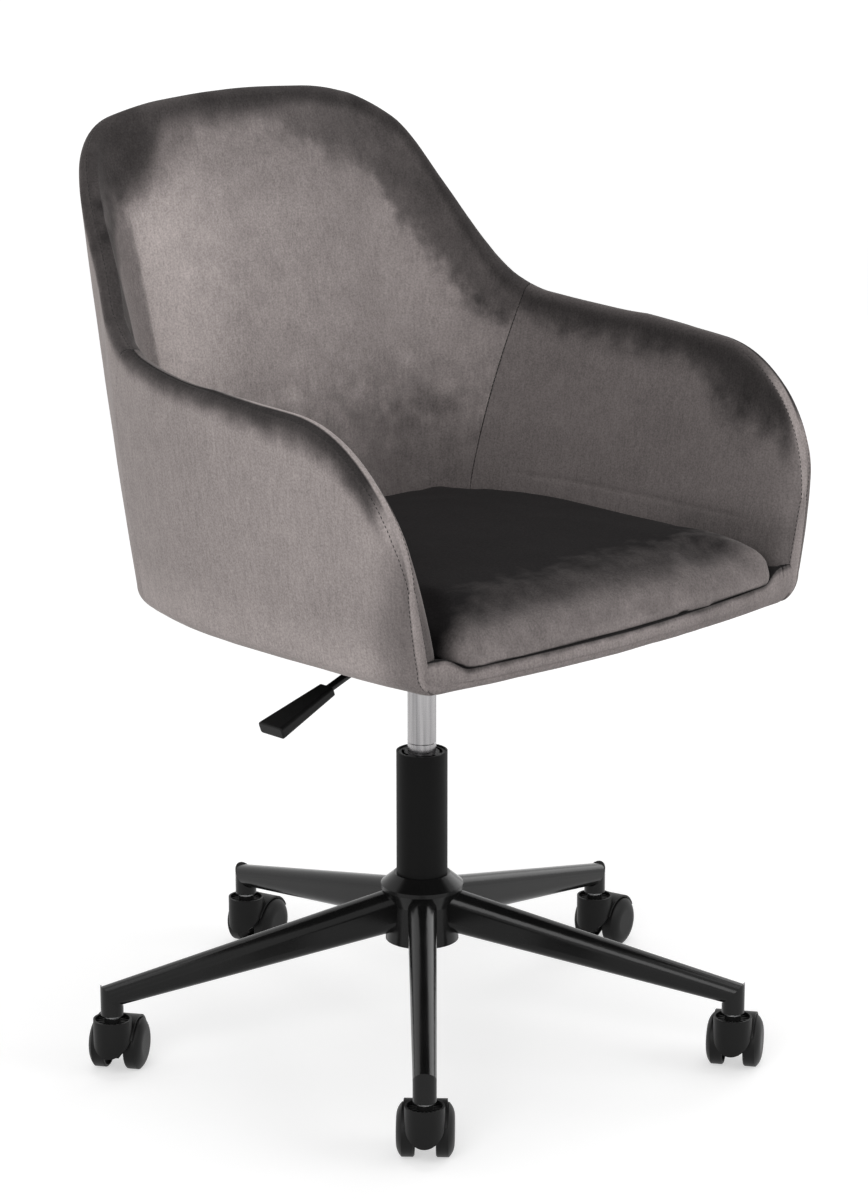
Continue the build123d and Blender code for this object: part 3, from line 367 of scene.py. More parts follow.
def section_halves(station):
    """Outer and inner half of the padded wall's section as (outward, up), from crest to mid underside."""
    lean, height = flare(station), rim_height(station)
    share, inner_share = nose_share(station, NOSE_TIP_SHARE), nose_share(station, NOSE_INNER_SHARE)
    back = smooth_between(RIM_CLIMB, near_half(station))
    swell = (ARM_INNER_SWELL + (BACK_INNER_SWELL - ARM_INNER_SWELL) * back) * share
    rim = RIM_THICKNESS * share / 2
    draw_in = RIM_THICKNESS * (1 - share) / 2
    corner = math.exp(-(front_distance(station) / CORNER_DROP_SPREAD) ** 2)
    edge = UNDER_EDGE_RADIUS * (1 + CORNER_DROP_GAIN * corner)
    crest, shoulder = lean * height - RIM_THICKNESS / 2, height - rim
    foot = -WALL_THICKNESS * inner_share
    inner_rim = RIM_THICKNESS * inner_share / 2
    room = (foot + 2 * FOOT_ROUNDING + draw_in + edge) / (edge * (1 + lean))
    under = round_bend((-draw_in - edge, edge), (edge * (1 + lean), edge), 0,
                       -math.degrees(math.acos(max(room, 0.0))), EDGE_STEPS)
    low = under[-1][1]
    outer_low, inner_low = (lean * edge - draw_in, edge), (foot, low + FOOT_ROUNDING)
    outer_middle = ((outer_low[0] + crest + rim) / 2 + OUTER_SWELL * share, (edge + shoulder) / 2)
    inner_middle = ((crest - inner_rim + foot) / 2 - swell, shoulder / 2)
    rim_outer = round_bend((crest, shoulder), rim, 90,
                           face_lean((crest + rim, shoulder), outer_middle, outer_low), RIM_STEPS)
    rim_inner = round_bend((crest, shoulder), (inner_rim, rim), 90,
                           180 + face_lean((crest - inner_rim, shoulder), inner_middle, inner_low), RIM_STEPS)
    heel = round_bend((foot + FOOT_ROUNDING, low + FOOT_ROUNDING), FOOT_ROUNDING, 180, 270, EDGE_STEPS)
    middle = (under[-1] + heel[-1]) / 2
    top = np.array([[crest, height]])
    outer = [top, rim_outer, bowed(rim_outer[-1], outer_middle, outer_low, FACE_STEPS), under,
             bowed(under[-1], (under[-1] + middle) / 2, middle, BASE_STEPS)]
    inner = [top, rim_inner, bowed(rim_inner[-1], inner_middle, inner_low, FACE_STEPS), heel,
             bowed(heel[-1], (heel[-1] + middle) / 2, middle, BASE_STEPS)]
    return np.vstack(outer), np.vstack(inner)


def wall_grid(stations):
    """Points round the padded wall at stations, and their distance from the crest, positive outside."""
    rows, around = [], []
    for station in stations:
        outer, inner = section_halves(station)
        x, y, angle = outline_point(station)
        out, up = np.vstack([outer, inner[-2:0:-1]]).T
        across, ahead = heading(angle)
        rows.append(np.column_stack([x + out * across, y + out * ahead, SHELL_BOTTOM + up]))
        reach = [run_length(half) for half in (outer, inner)]
        around.append(np.concatenate([reach[0], -reach[1][-2:0:-1]]))
    return np.array(rows), np.array(around)


def seam_slant(around):
    """How many stations a corner seam lies forward of its foot, by the distance from the crest."""
    outer = np.clip(1 - around / OUTER_SLANT_REACH, 0, 1) ** OUTER_SLANT_POWER
    inner = np.clip(1 + around / INNER_SLANT_REACH, 0, 1) ** INNER_SLANT_POWER
    return SEAM_SLANT * np.where(around > 0, outer, inner)


class Pad:
    """Grid of points round the padded wall, with the distances that seams and folds are placed by."""

    def __init__(self, stations, base, right_slant, left_slant):
        """The rows are read off a base grid, moved forward by a share of each corner seam's slant."""
        points, around = wall_grid(base)
        slant = seam_slant(wall_grid([SEAM_STATION])[1][0])
        self.at = stations[:, None] + (left_slant - right_slant)[:, None] * slant
        self.points = np.empty((len(stations), LOOP, 3))
        self.around = np.empty((len(stations), LOOP))
        for step in range(LOOP):
            self.around[:, step] = np.interp(self.at[:, step], base, around[:, step])
            self.points[:, step] = sampled(self.at[:, step], base, points[:, step])
        self.stations = stations
        steps = np.linalg.norm(np.diff(self.points, axis=0), axis=2)
        self.along = np.vstack([np.zeros(LOOP), np.cumsum(steps, axis=0)])
        self.height = self.points[:, :, 2] - SHELL_BOTTOM

    def index(self, row, step):
        """Two grid points about a place and its share between them; inner steps are negative."""
        before = math.floor(step)
        return row * LOOP + before % LOOP, row * LOOP + (before + 1) % LOOP, step - before

    def reach(self, row, step):
        """Distance from the crest of a place between two grid points."""
        before, after, share = self.index(0, step)
        return self.around[row, before] * (1 - share) + self.around[row, after] * share


def seam_dip(distance):
    """Depth of a sewn seam at a distance from its line: a narrow dip between two soft edges."""
    dip = SEAM_DEPTH * bell(distance, SEAM_WIDTH)
    return SEAM_PUFF * bell(np.abs(distance) - 3 * SEAM_WIDTH, 2 * SEAM_WIDTH) - dip


def rolled_edge(distance):
    """Drop of a panel's edge that rolls into a seam."""
    inside = np.clip(SEAM_ROLL - distance, 0, SEAM_ROLL)
    return -(SEAM_ROLL - np.sqrt(SEAM_ROLL ** 2 - inside ** 2))


def arm_rows():
    """Stations along an arm, close together at its front edge and at its seam."""
    side = SIDE_END - SHELL_FRONT
    nose = [distance / side for distance in NOSE_ROWS]
    straight = np.arange(NOSE_DEPTH, side, ROW_SPACING) / side
    bend = SIDE_RADIUS * math.radians(SIDE_TURN)
    curve = 1 + np.arange(0, bend - SEAM_ROWS[-1] - ROW_SPACING / 2, ROW_SPACING) / bend
    seam = [SEAM_STATION - distance / bend for distance in reversed(SEAM_ROWS)]
    return np.array([*nose, *straight, *curve, *seam])


def back_rows():
    """Stations across the back, close together at its two seams."""
    corner = CORNER_RADIUS * math.radians(CORNER_TURN)
    _, radius, _, turn = arc_of_outline(3)
    middle = radius * math.radians(turn)
    seam = [SEAM_STATION + distance / corner for distance in SEAM_ROWS]
    bend = SEAM_STATION + np.arange(SEAM_ROWS[-1] + ROW_SPACING, corner, ROW_SPACING * 0.75) / corner
    flat = 3 + np.arange(0, middle - ROW_SPACING / 2, ROW_SPACING) / middle
    half = [*seam, *bend, *flat]
    return np.array([*half, BACK_STATION, *(LAST_STATION - station for station in reversed(half))])


def grid_faces(rows, count):
    """Four-sided faces of a grid of rings that each close on themselves."""
    faces = []
    for row in range(rows - 1):
        for step in range(count):
            low, after = row * count, (step + 1) % count
            faces.append((low + step, low + after, low + count + after, low + count + step))
    return faces


def closed_grid(rows, count):
    """Faces of a grid of rings, with its first and last ring filled."""
    last = (rows - 1) * count
    return grid_faces(rows, count) + [tuple(range(count)), tuple(range(last, last + count))]


def gusset_faces(points):
    """Points and faces that close an arm's front with strips from its outer to its inner half."""
    extra, columns = [], [[0] * (GUSSET_STEPS + 1)]
    share = np.linspace(0, 1, GUSSET_STEPS + 1)[1:-1, None]
    for step in range(1, HALF_STEPS):
        one, two = points[step], points[LOOP - step]
        strip = one + (two - one) * share
        swell = min(GUSSET_SWELL, np.linalg.norm(two - one) / 4)
        strip[:, [1]] -= 4 * share * (1 - share) * swell
        first = len(points) + len(extra)
        extra.extend(strip)
        columns.append([step, *range(first, first + GUSSET_STEPS - 1), LOOP - step])
    columns.append([HALF_STEPS] * (GUSSET_STEPS + 1))
    faces = []
    for upper, lower in zip(columns, columns[1:]):
        for column in range(GUSSET_STEPS):
            corners = (upper[column], lower[column], lower[column + 1], upper[column + 1])
            faces.append(tuple(dict.fromkeys(corners)))
    return np.array(extra), faces


def placed(name, data):
    """New object in the scene."""
    made = bpy.data.objects.new(name, data)
    bpy.context.scene.collection.objects.link(made)
    return made


def smooth_object(name, mesh):
    """New object of a mesh with smooth faces."""
    mesh.polygons.foreach_set("use_smooth", [True] * len(mesh.polygons))
    return placed(name, mesh)


def mesh_object(name, points, faces):
    """New object of smooth faces that all look outward."""
    mesh = bpy.data.meshes.new(name)
    mesh.from_pydata([tuple(point) for point in points], [], faces)
    work = bmesh.new()
    work.from_mesh(mesh)
    bmesh.ops.recalc_face_normals(work, faces=work.faces)
    work.to_mesh(mesh)
    work.free()
    return smooth_object(name, mesh)


def vertex_values(mesh, field):
    """Places or normals of a mesh's vertices as an array."""
    flat = np.empty(len(mesh.vertices) * 3)
    mesh.vertices.foreach_get(field, flat)
    return flat.reshape(-1, 3)


def places_of(piece):
    """Vertex places of a piece."""
    return vertex_values(piece.data, "co")


def normals_of(piece):
    """Vertex normals of a piece."""
    return vertex_values(piece.data, "normal")


def move_to(piece, places):
    """Puts a mesh's vertices at new places."""
    piece.data.vertices.foreach_set("co", np.asarray(places).ravel())
    piece.data.update()


def push_out(piece, depth):
    """Moves each vertex along its normal."""
    move_to(piece, places_of(piece) + normals_of(piece) * np.asarray(depth)[:, None])


def store_lay_and_shade(piece, lay_and_shade, ragged):
    """Stores how dark the pile lies, with its painted shade, at each vertex, and how ragged the change of
    pile is there.
    """
    for name, values in (("lay_and_shade", lay_and_shade), ("ragged", ragged)):
        layer = piece.data.attributes.new(name, "FLOAT", "POINT")
        layer.data.foreach_set("value", np.asarray(values, np.float32))


def faded(band):
    """1 half way through a change of pile, 0 where the pile lies evenly."""
    return 4 * band * (1 - band)


def rim_seam(station):
    """Step of the rim's seam, which drifts outward towards an arm's front."""
    drift = float(ease(1.2, 0.6, near_half(station)))
    return RIM_SEAM_STEP + (RIM_SEAM_FRONT_STEP - RIM_SEAM_STEP) * drift


def arm_lay_and_shade(pad, side):
    """Lay with painted shade and raggedness of an arm's pile: painted shade along the rim and inside, painted
    light outside and on the front strip.
    """
    below = np.abs(pad.around)
    ahead = np.minimum(pad.stations, 1.0)
    drop = np.array([rim_height(1.0) - rim_height(station) for station in ahead])[:, None]
    stations = pad.stations[:, None]
    wide = ease(1.2, 0.6, stations)
    front = ease(0.66, 0.42, stations) * ease(0.12, 0.32, stations)
    # Outer panel pale as painted light, darker towards the arm's front
    outside = OUTSIDE_LAY_AND_SHADE + 0.34 * ease(0.07, 0.006, pad.along)
    # Painted light: the outer panel paler near its bottom, where the floor lights it
    outside = outside - 0.09 * ease(0.07, 0.02, pad.height)
    # Painted shade: the inner panel darker, more so low down near the front, above the cushion
    inside = ARM_INSIDE_LAY_AND_SHADE + 0.14 * ease(0.095, 0.06, pad.height) * ease(0.9, 0.5, stations)
    level = outside + (inside - outside) * ease(0.012, -0.020, pad.around)
    # Painted shade: dark bands along the rim, outside and inside, where the pile faces up; they fade where
    # the arm drops at its front
    outer = ease(0.029 + 0.013 * wide, 0.003 + 0.004 * wide, below) * ease(0.09, 0.05, drop)
    inner = ease(0.058 + 0.045 * front, 0.014 + 0.014 * front, below) * ease(0.095, 0.06, drop)
    lay_and_shade = level + np.where(pad.around > 0, 0.72 * outer, 0.39 * inner)
    # Painted light: a pale strip from the crest down to the inner seam, reaching further back on the left
    # arm, where the lamp lights it, than on the right
    strip = ease(0.003, 0.001, pad.around)
    inner_line = pad.around[:, [-GUSSET_SEAM_STEP]]
    strip = strip * ease(inner_line - 0.001, inner_line, pad.around)
    strip = strip * (ease(1.0, 0.7, stations) if side < 0 else ease(0.35, 0.15, stations))
    lay_and_shade = lay_and_shade + (STRIP_LAY_AND_LIGHT - lay_and_shade) * strip
    return lay_and_shade, 0.05 + 0.24 * np.where(pad.around > 0, faded(outer), faded(inner)) * (1 - strip)


def back_lay_and_shade(pad):
    """Lay with painted shade and raggedness of the back's pile: painted shade along the rim, in the left
    corner, to the right and low down.
    """
    below = np.abs(pad.around)
    x = pad.points[:, :, 0]
    edge = np.interp(pad.at, *np.array(BACK_BAND).T)
    slope = ease(3.1, 2.7, pad.at)
    wing = ease(4.6, 5.0, pad.at)
    right = ease(3.9, 3.4, pad.at)
    # Painted shade below the rim inside the back: dark near the crest, a band along BACK_BAND and a soft fade
    # from the top
    near = ease(0.040 + 0.065 * wing - 0.010 * right, 0.010 + 0.045 * wing, below)
    band = ease(edge + BACK_BAND_HALF_WIDTH, edge - BACK_BAND_HALF_WIDTH, below)
    upper = ease(0.150, 0.040, below)
    # Painted shade: a sharp darker patch low in the left corner, where the wall turns away from the lamps
    corner = ease(5.07, 5.13, pad.at) * ease(0.40, 0.33, pad.height)
    # Painted shade low on the back, from its middle to the right
    low = ease(0.21, 0.08, pad.height) * ease(-0.26, -0.08, x)
    # Painted light and shade: the back paler on the left, where the lamps fall, and darker to the right
    level = 0.20 * ease(-0.16, 0.0, x) + 0.10 * ease(0.02, 0.16, x)
    level = level + 0.21 * low + 0.38 * corner * (1 - band)
    inner = level + 0.12 * upper + (0.24 + 0.06 * slope) * band + (0.33 - 0.16 * slope + 0.16 * wing) * near
    # Painted shade: the outside dark at the crest, where the pile faces up
    rim = ease(0.030, 0.006, below)
    rough = 0.10 + (0.16 + 0.40 * slope) * faded(band) + 0.25 * faded(corner) + 0.2 * faded(low)
    return (np.where(pad.around > 0, OUTSIDE_LAY_AND_SHADE + 0.66 * rim, np.minimum(inner, BACK_DARKEST_LAY_AND_SHADE)),
            np.where(pad.around > 0, 0.10 + 0.25 * faded(rim), rough))


def back_creases(pad):
    """Slanting creases low on the inside of the back, where the cloth is drawn to the right corner seam."""
    along = (SEAM_STATION - pad.at) * CORNER_RADIUS * math.radians(CORNER_TURN)
    turn = math.radians(BACK_CREASE_SLOPE)
    ahead = along * math.cos(turn) + pad.height * math.sin(turn)
    across = pad.height * math.cos(turn) - along * math.sin(turn)
    places = np.column_stack([ahead.ravel() * BACK_CREASE_WAVES_ALONG,
                              across.ravel() * BACK_CREASE_WAVES_ACROSS, 0 * ahead.ravel()])
    window = bell(pad.at - BACK_CREASE_STATION, BACK_CREASE_STATION_SPREAD) * (pad.around < 0)
    window = window * bell(pad.height - BACK_CREASE_HEIGHT, BACK_CREASE_HEIGHT_SPREAD)
    return BACK_CREASE_DEPTH * ripple(places, 1).reshape(along.shape) * window


def sewn(name, side, parts):
    """Piece made of parts: points, faces, depth, share of the unevenness, lay with painted shade and
    raggedness of each.
    """
    points, faces, depths, shares, lays_and_shades, ragged = zip(*parts)
    every = np.vstack(points)
    piece = mesh_object(name, every * (side, 1, 1), [face for part in faces for face in part])
    waves = uneven(every, SHELL_WAVES) * np.repeat(shares, [len(part) for part in points])
    push_out(piece, np.concatenate(depths) + waves)
    store_lay_and_shade(piece, np.concatenate(lays_and_shades), np.concatenate(ragged))
    return piece


def arm_relief(pad, rim_line, seam_distance, gusset_end):
    """Depth of an arm's seams, rolled edge, tuck and crease."""
    gusset_line = pad.around[:, [-GUSSET_SEAM_STEP]]
    inner = pad.around < gusset_line
    panels = inner | (pad.around > rim_line)
    depth = seam_dip(pad.around - rim_line) + gusset_end * seam_dip(pad.around - gusset_line)
    depth += np.where(panels, seam_dip(pad.along), 0) + rolled_edge(seam_distance)
    tuck = bell(pad.height - TUCK_HEIGHT, TUCK_WIDTH) * ease(0.022, 0.006, pad.along)
    crease = bell(pad.height - CREASE_HEIGHT, CREASE_WIDTH) * ease(0.05, 0.09, pad.along)
    crease = crease * ease(0.03, 0.08, seam_distance)
    return depth - np.where(inner, TUCK_DEPTH * tuck + CREASE_DEPTH * crease, 0)


def arm_pad(name, side):
    """Upholstered arm: outer panel, narrow front gusset, inner panel, sewn at the rim."""
    stations = arm_rows()
    pad = Pad(stations, stations, ease(ARM_SLANT_START, SEAM_STATION, stations), 0 * stations)
    if side < 0:
        fuller = ease(*FULLNESS_RISE, stations) * ease(*FULLNESS_FALL, stations)
        share = pad.height / pad.height.max(axis=1)[:, None]
        pad.points[:, :, 2] += LEFT_ARM_FULLNESS * fuller[:, None] * share ** 3
    points = pad.points.reshape(-1, 3)
    rows = len(pad.stations)
    seam_steps = [rim_seam(station) for station in pad.stations]
    rim_line = np.array([[pad.reach(row, step)] for row, step in enumerate(seam_steps)])
    seam_distance = (SEAM_STATION - pad.stations)[:, None] * SIDE_RADIUS * math.radians(SIDE_TURN)
    gusset_end = ease(*GUSSET_FADE, seam_distance)
    depth = arm_relief(pad, rim_line, seam_distance, gusset_end)
    nose, nose_faces = gusset_faces(points)
    lip, lip_faces = seam_lip(pad, rows - 1, rows * LOOP + len(nose))
    across = np.linspace(0, 1, GUSSET_STEPS + 1)[1:-1]
    gusset = []
    for step in range(1, HALF_STEPS):
        width = np.linalg.norm(points[LOOP - step] - points[step])
        edges = seam_dip(across * width) * (step > RIM_SEAM_FRONT_STEP)
        gusset.extend(edges + seam_dip((1 - across) * width) * (step > GUSSET_SEAM_STEP))
    gusset_lay_and_shade = np.tile(GUSSET_LAY_AND_SHADE + GUSSET_LAY_AND_SHADE_GAIN * across, HALF_STEPS - 1)
    lay_and_shade, ragged = arm_lay_and_shade(pad, side)
    piece = sewn(name, side, [
        (points, grid_faces(rows, LOOP), depth.ravel(), 1, lay_and_shade.ravel(), ragged.ravel()),
        (nose, nose_faces, gusset, NOSE_WAVE_SHARE, gusset_lay_and_shade, np.full(len(nose), GUSSET_RAGGED)),
        (lip, lip_faces, np.zeros(LOOP), 0, lay_and_shade[-1], ragged[-1])])
    rim_path = [pad.index(row, seam_steps[row]) for row in range(rows - 1, -1, -1)]
    rim_path += [pad.index(0, step) for step in range(RIM_SEAM_FRONT_STEP + 1, HALF_STEPS - BASE_STEPS)]
    first = int(np.argmax(gusset_end[:, 0] < 0.5))
    gusset_path = [pad.index(row, -GUSSET_SEAM_STEP) for row in range(first, -1, -1)]
    gusset_path += [pad.index(0, -step) for step in range(GUSSET_SEAM_STEP + 1, HALF_STEPS - BASE_STEPS)]
    return piece, [rim_path, gusset_path]


def seam_lip(pad, row, start):
    """Edge of a panel turned in at a seam, and the faces that close it."""
    ring = pad.points[row]
    middle = (ring[:HALF_STEPS + 1] + ring[-np.arange(HALF_STEPS + 1) % LOOP]) / 2
    centre = np.vstack([middle, middle[-2:0:-1]])
    inward = centre - ring
    length = np.linalg.norm(inward, axis=1)[:, None]
    lip = ring + inward / np.maximum(length, 1e-6) * np.minimum(SEAM_LIP, length * 0.8)
    faces = [(row * LOOP + step, row * LOOP + (step + 1) % LOOP, start + (step + 1) % LOOP, start + step)
             for step in range(LOOP)]
    for step in range(HALF_STEPS):
        corners = (start + step, start + step + 1, start + (LOOP - step - 1) % LOOP,
                   start + (LOOP - step) % LOOP)
        faces.append(tuple(dict.fromkeys(corners)))
    return lip, faces


def back_pad():
    """Upholstered back between the two corner seams."""
    stations = back_rows()
    base = np.linspace(SEAM_STATION - SEAM_SLANT, LAST_STATION - SEAM_STATION + SEAM_SLANT,
                       BACK_BASE_ROWS)
    pad = Pad(stations, base, ease(BACK_SLANT_END, SEAM_STATION, stations),
              ease(LAST_STATION - BACK_SLANT_END, LAST_STATION - SEAM_STATION, stations))
    rows = len(pad.stations)
    points = pad.points.reshape(-1, 3)
    corner = CORNER_RADIUS * math.radians(CORNER_TURN)
    half = np.array([near_half(station) for station in pad.stations])
    seam_distance = ((half - SEAM_STATION) * corner)[:, None]
    rim_line = pad.around[:, [RIM_SEAM_STEP]]
    depth = seam_dip(pad.around - rim_line) + rolled_edge(seam_distance) + back_creases(pad)
    lay_and_shade, ragged = back_lay_and_shade(pad)
    parts = [(points, grid_faces(rows, LOOP), depth.ravel(), 1, lay_and_shade.ravel(), ragged.ravel())]
    rim_path = [pad.index(row, RIM_SEAM_STEP) for row in range(rows)]
    corners = []
    for number, row in enumerate((0, rows - 1)):
        lip, faces = seam_lip(pad, row, (rows + number) * LOOP)
        parts.append((lip, faces, np.zeros(LOOP), 0, lay_and_shade[row], ragged[row]))
        corners.append([pad.index(row, step) for step in range(RIM_SEAM_STEP + 1, HALF_STEPS - BASE_STEPS)])
        corners.append([pad.index(row, -step) for step in range(1, HALF_STEPS - BASE_STEPS)])
    return sewn("back_upholstery", 1, parts), [rim_path, *corners]


def stitch_points(path, piece):
    """Places, directions and surface normals of the stitches along a path of places between vertices."""
    before, after = (np.array([place[end] for place in path]) for end in range(2))
    share = np.array([place[2] for place in path])[:, None]
    places, normals = (values[before] * (1 - share) + values[after] * share
                       for values in (places_of(piece), normals_of(piece)))
    reach = run_length(places)
    at = np.arange(STITCH_PITCH / 2, reach[-1], STITCH_PITCH)
    ends = [sampled(at + half * STITCH_LENGTH, reach, places) for half in (-0.5, 0.5)]
    return sampled(at, reach, places), ends[1] - ends[0], sampled(at, reach, normals)


def stitches(name, rows):
    """One object of short thread stitches along (piece, path) rows."""
    points, faces = [], []
    turns = np.arange(STITCH_SIDES)[:, None] * 2 * math.pi / STITCH_SIDES
    one_stitch = closed_grid(len(STITCH_RINGS), STITCH_SIDES)
    for piece, path in rows:
        for place, ahead, normal in zip(*stitch_points(path, piece)):
            length = np.linalg.norm(ahead)
            if length < STITCH_LENGTH / 2:
                continue
            normal = normal / np.linalg.norm(normal)
            across = np.cross(ahead / length, normal)
            faces.extend(tuple(len(points) + corner for corner in face) for face in one_stitch)
            for share, thickness, lift in STITCH_RINGS:
                centre = place + ahead * share + normal * lift * STITCH_RADIUS
                around = np.cos(turns) * across + np.sin(turns) * normal
                points.extend(centre + STITCH_RADIUS * thickness * around)
    return mesh_object(name, points, faces)


def rail_top(x):
    """Height of the rail's top, a little higher to the right and drawn up at both ends."""
    rise = ease(RAIL_RISE_START, RAIL_RISE_END, np.abs(x))
    return RAIL_TOP + RAIL_TILT * np.clip(x / RAIL_HALF_LENGTH, 0, 1) + RAIL_RISE * rise


def front_rail():
    """Padded strip under the cushion's front edge, drawn up over the arms' lower corners at its ends."""
    points, from_top = [], []
    edge = UNDER_EDGE_RADIUS * (1 + CORNER_DROP_GAIN)
    turn_start = SHELL_HALF_WIDTH - RIM_THICKNESS * (1 - NOSE_TIP_SHARE) / 2 - edge
    for share in np.sin(np.linspace(-math.pi / 2, math.pi / 2, RAIL_ROWS)):
        x = RAIL_REACH * share
        front = RAIL_FRONT - RAIL_BOW * (1 - (x / RAIL_HALF_LENGTH) ** 2)
        front += RAIL_TUCK * max((abs(x) - RAIL_TUCK_START) / (RAIL_REACH - RAIL_TUCK_START), 0) ** 2
        top = rail_top(x)
        crest = top + RAIL_CREST
        past = max(abs(x) - turn_start, 0) / (edge * (1 + FLARE))
        bottom = SHELL_BOTTOM + edge * (1 - math.sqrt(1 - past ** 2))
        halfway = (bottom + crest) / 2
        low = round_bend((front + RAIL_EDGE, bottom + RAIL_EDGE), RAIL_EDGE, 270, 180, RAIL_STEPS)
        lean = face_lean((front, crest), (front - RAIL_SWELL, halfway), low[-1])
        high = round_bend((front + RAIL_TOP_EDGE, crest - RAIL_TOP_EDGE), RAIL_TOP_EDGE, 180 + lean, 90,
                          RAIL_STEPS)
        face = bowed(low[-1], (front - RAIL_SWELL, halfway), high[0], RAIL_STEPS)
        shelf = bowed(high[-1], ((front + RAIL_BACK) / 2, (top + crest) / 2), (RAIL_BACK, top), RAIL_STEPS)
        behind = bowed(shelf[-1], (RAIL_BACK, halfway), (RAIL_BACK, bottom), RAIL_STEPS)
        under = bowed(behind[-1], ((front + RAIL_BACK) / 2, bottom), (front + RAIL_EDGE, bottom),
                      RAIL_STEPS)
        loop = np.vstack([low, face, high[1:], shelf, behind, under])
        points.extend(np.column_stack([np.full(len(loop), x), loop]))
        from_top.extend(crest - loop[:, 1])
    piece = mesh_object("rail_upholstery", points, closed_grid(RAIL_ROWS, len(loop)))
    places = places_of(piece)
    gathered = bell(places[:, 0] - GATHER_PLACE, GATHER_SPREAD) * ease(0.016, 0.003, from_top)
    folds = np.maximum(np.sin(places[:, 0] * 2 * math.pi / PLEAT_PITCH), 0) ** 2
    push_out(piece, uneven(places, RAIL_WAVES) - PLEAT_DEPTH * gathered * folds)
    # Painted shade: darker along the top, in the gathered pleats' folds and in the up-facing groove under the
    # cushion
    ridge = ease(0.006, 0.001, from_top)
    groove = ease(0.55, 0.9, normals_of(piece)[:, 2]) * ease(0.02, 0.01, from_top)
    store_lay_and_shade(piece, RAIL_LAY_AND_SHADE + 0.34 * ridge + 0.3 * gathered * folds + 0.5 * groove, 0.12 + 0.5 * faded(ridge))
    return piece


def cushion_outline(inset):
    """Evenly spaced points on the cushion's outline, drawn in by an inset."""
    side = outline_point(1.0, WALL_THICKNESS + inset)[0]
    bow_centre = CUSHION_FRONT + inset + CUSHION_BOW_RADIUS
    corner_x = side - CUSHION_CORNER
    corner_y = bow_centre - math.sqrt((CUSHION_BOW_RADIUS - CUSHION_CORNER) ** 2 - corner_x ** 2)
    angle = math.atan2(corner_y - bow_centre, corner_x)
    wall = [outline_point(station, WALL_THICKNESS + inset)[:2]
            for station in np.linspace(1, BACK_STATION, CUSHION_WALL_POINTS)]
    corner = [(corner_x + CUSHION_CORNER * math.cos(turn), corner_y + CUSHION_CORNER * math.sin(turn))
              for turn in np.linspace(angle, 0, CUSHION_CORNER_POINTS)]
    touch = CUSHION_BOW_RADIUS * math.cos(angle)
    bow = [(x, bow_centre - math.sqrt(CUSHION_BOW_RADIUS ** 2 - x ** 2))
           for x in np.linspace(0, touch, CUSHION_BOW_POINTS)]
    half = bow[:-1] + corner + wall
    mirrored = [(-x, y) for x, y in reversed(half[1:-1])]
    loop = np.array(half + mirrored + half[:1])
    reach = run_length(loop)
    return sampled(np.linspace(0, reach[-1], CUSHION_STEPS, endpoint=False), reach, loop)


def cushion_body():
    """Cushion before it is filled: rings of its form, closed above and below."""
    form = np.array(CUSHION_FORM)
    reach = np.append(0, np.cumsum(np.hypot(*(np.diff(form, axis=0) * (CUSHION_HEIGHT, 1)).T)))
    rings = []
    for share, inset in sampled(np.linspace(0, reach[-1], CUSHION_LEVELS), reach, form):
        flat = cushion_outline(inset + CUSHION_SHRINK)
        overhang = ease(RAIL_BACK + OVERHANG_START, RAIL_BACK - OVERHANG_END, flat[:, 1])
        overhang = overhang * (1 - share) ** 2
        seat = CUSHION_BOTTOM + (rail_top(flat[:, 0]) - CUSHION_BOTTOM) * overhang
        rings.append(np.column_stack([flat, seat + share * CUSHION_HEIGHT]))
    centre = np.array(CUSHION_CENTRE)
    edge = rings[-1]
    for share in np.linspace(1, CUSHION_LAST_RING_SHARE, CUSHION_TOP_RINGS)[1:]:
        ring = edge.copy()
        ring[:, :2] = centre + (edge[:, :2] - centre) * share
        ring[:, 2] = edge[:, 2] + CUSHION_CROWN * (1 - share ** 2)
        rings.append(ring)
    return mesh_object("seat_cushion_body", np.vstack(rings), closed_grid(len(rings), CUSHION_STEPS))


def baked(piece, name):
    """New object with a piece's modifiers applied; the old one is removed."""
    graph = bpy.context.evaluated_depsgraph_get()
    made = smooth_object(name, bpy.data.meshes.new_from_object(piece.evaluated_get(graph)))
    bpy.data.objects.remove(piece)
    return made


def swell(piece):
    """Fills a cushion by cloth pressure, with its underside held."""
    start = places_of(piece)
    held = piece.vertex_groups.new(name="held")
    low = np.nonzero(normals_of(piece)[:, 2] < CUSHION_HELD)[0]
    held.add([int(index) for index in low], 1.0, "REPLACE")
    cloth = piece.modifiers.new("swell", "CLOTH")
    cloth.settings.use_pressure = True
    cloth.settings.uniform_pressure_force = CUSHION_PRESSURE
    cloth.settings.vertex_group_mass = "held"
    cloth.settings.effector_weights.gravity = 0
    cloth.point_cache.frame_end = SWELL_FRAMES
    scene = bpy.context.scene
    for number in range(1, SWELL_FRAMES + 1):
        scene.frame_set(number)
    graph = bpy.context.evaluated_depsgraph_get()
    move = vertex_values(piece.evaluated_get(graph).to_mesh(), "co") - start
    piece.modifiers.remove(cloth)
    scene.frame_set(1)
    length = np.linalg.norm(move, axis=1)[:, None]
    move_to(piece, start + move * np.minimum(1, CUSHION_CAP / np.maximum(length, 1e-9)))


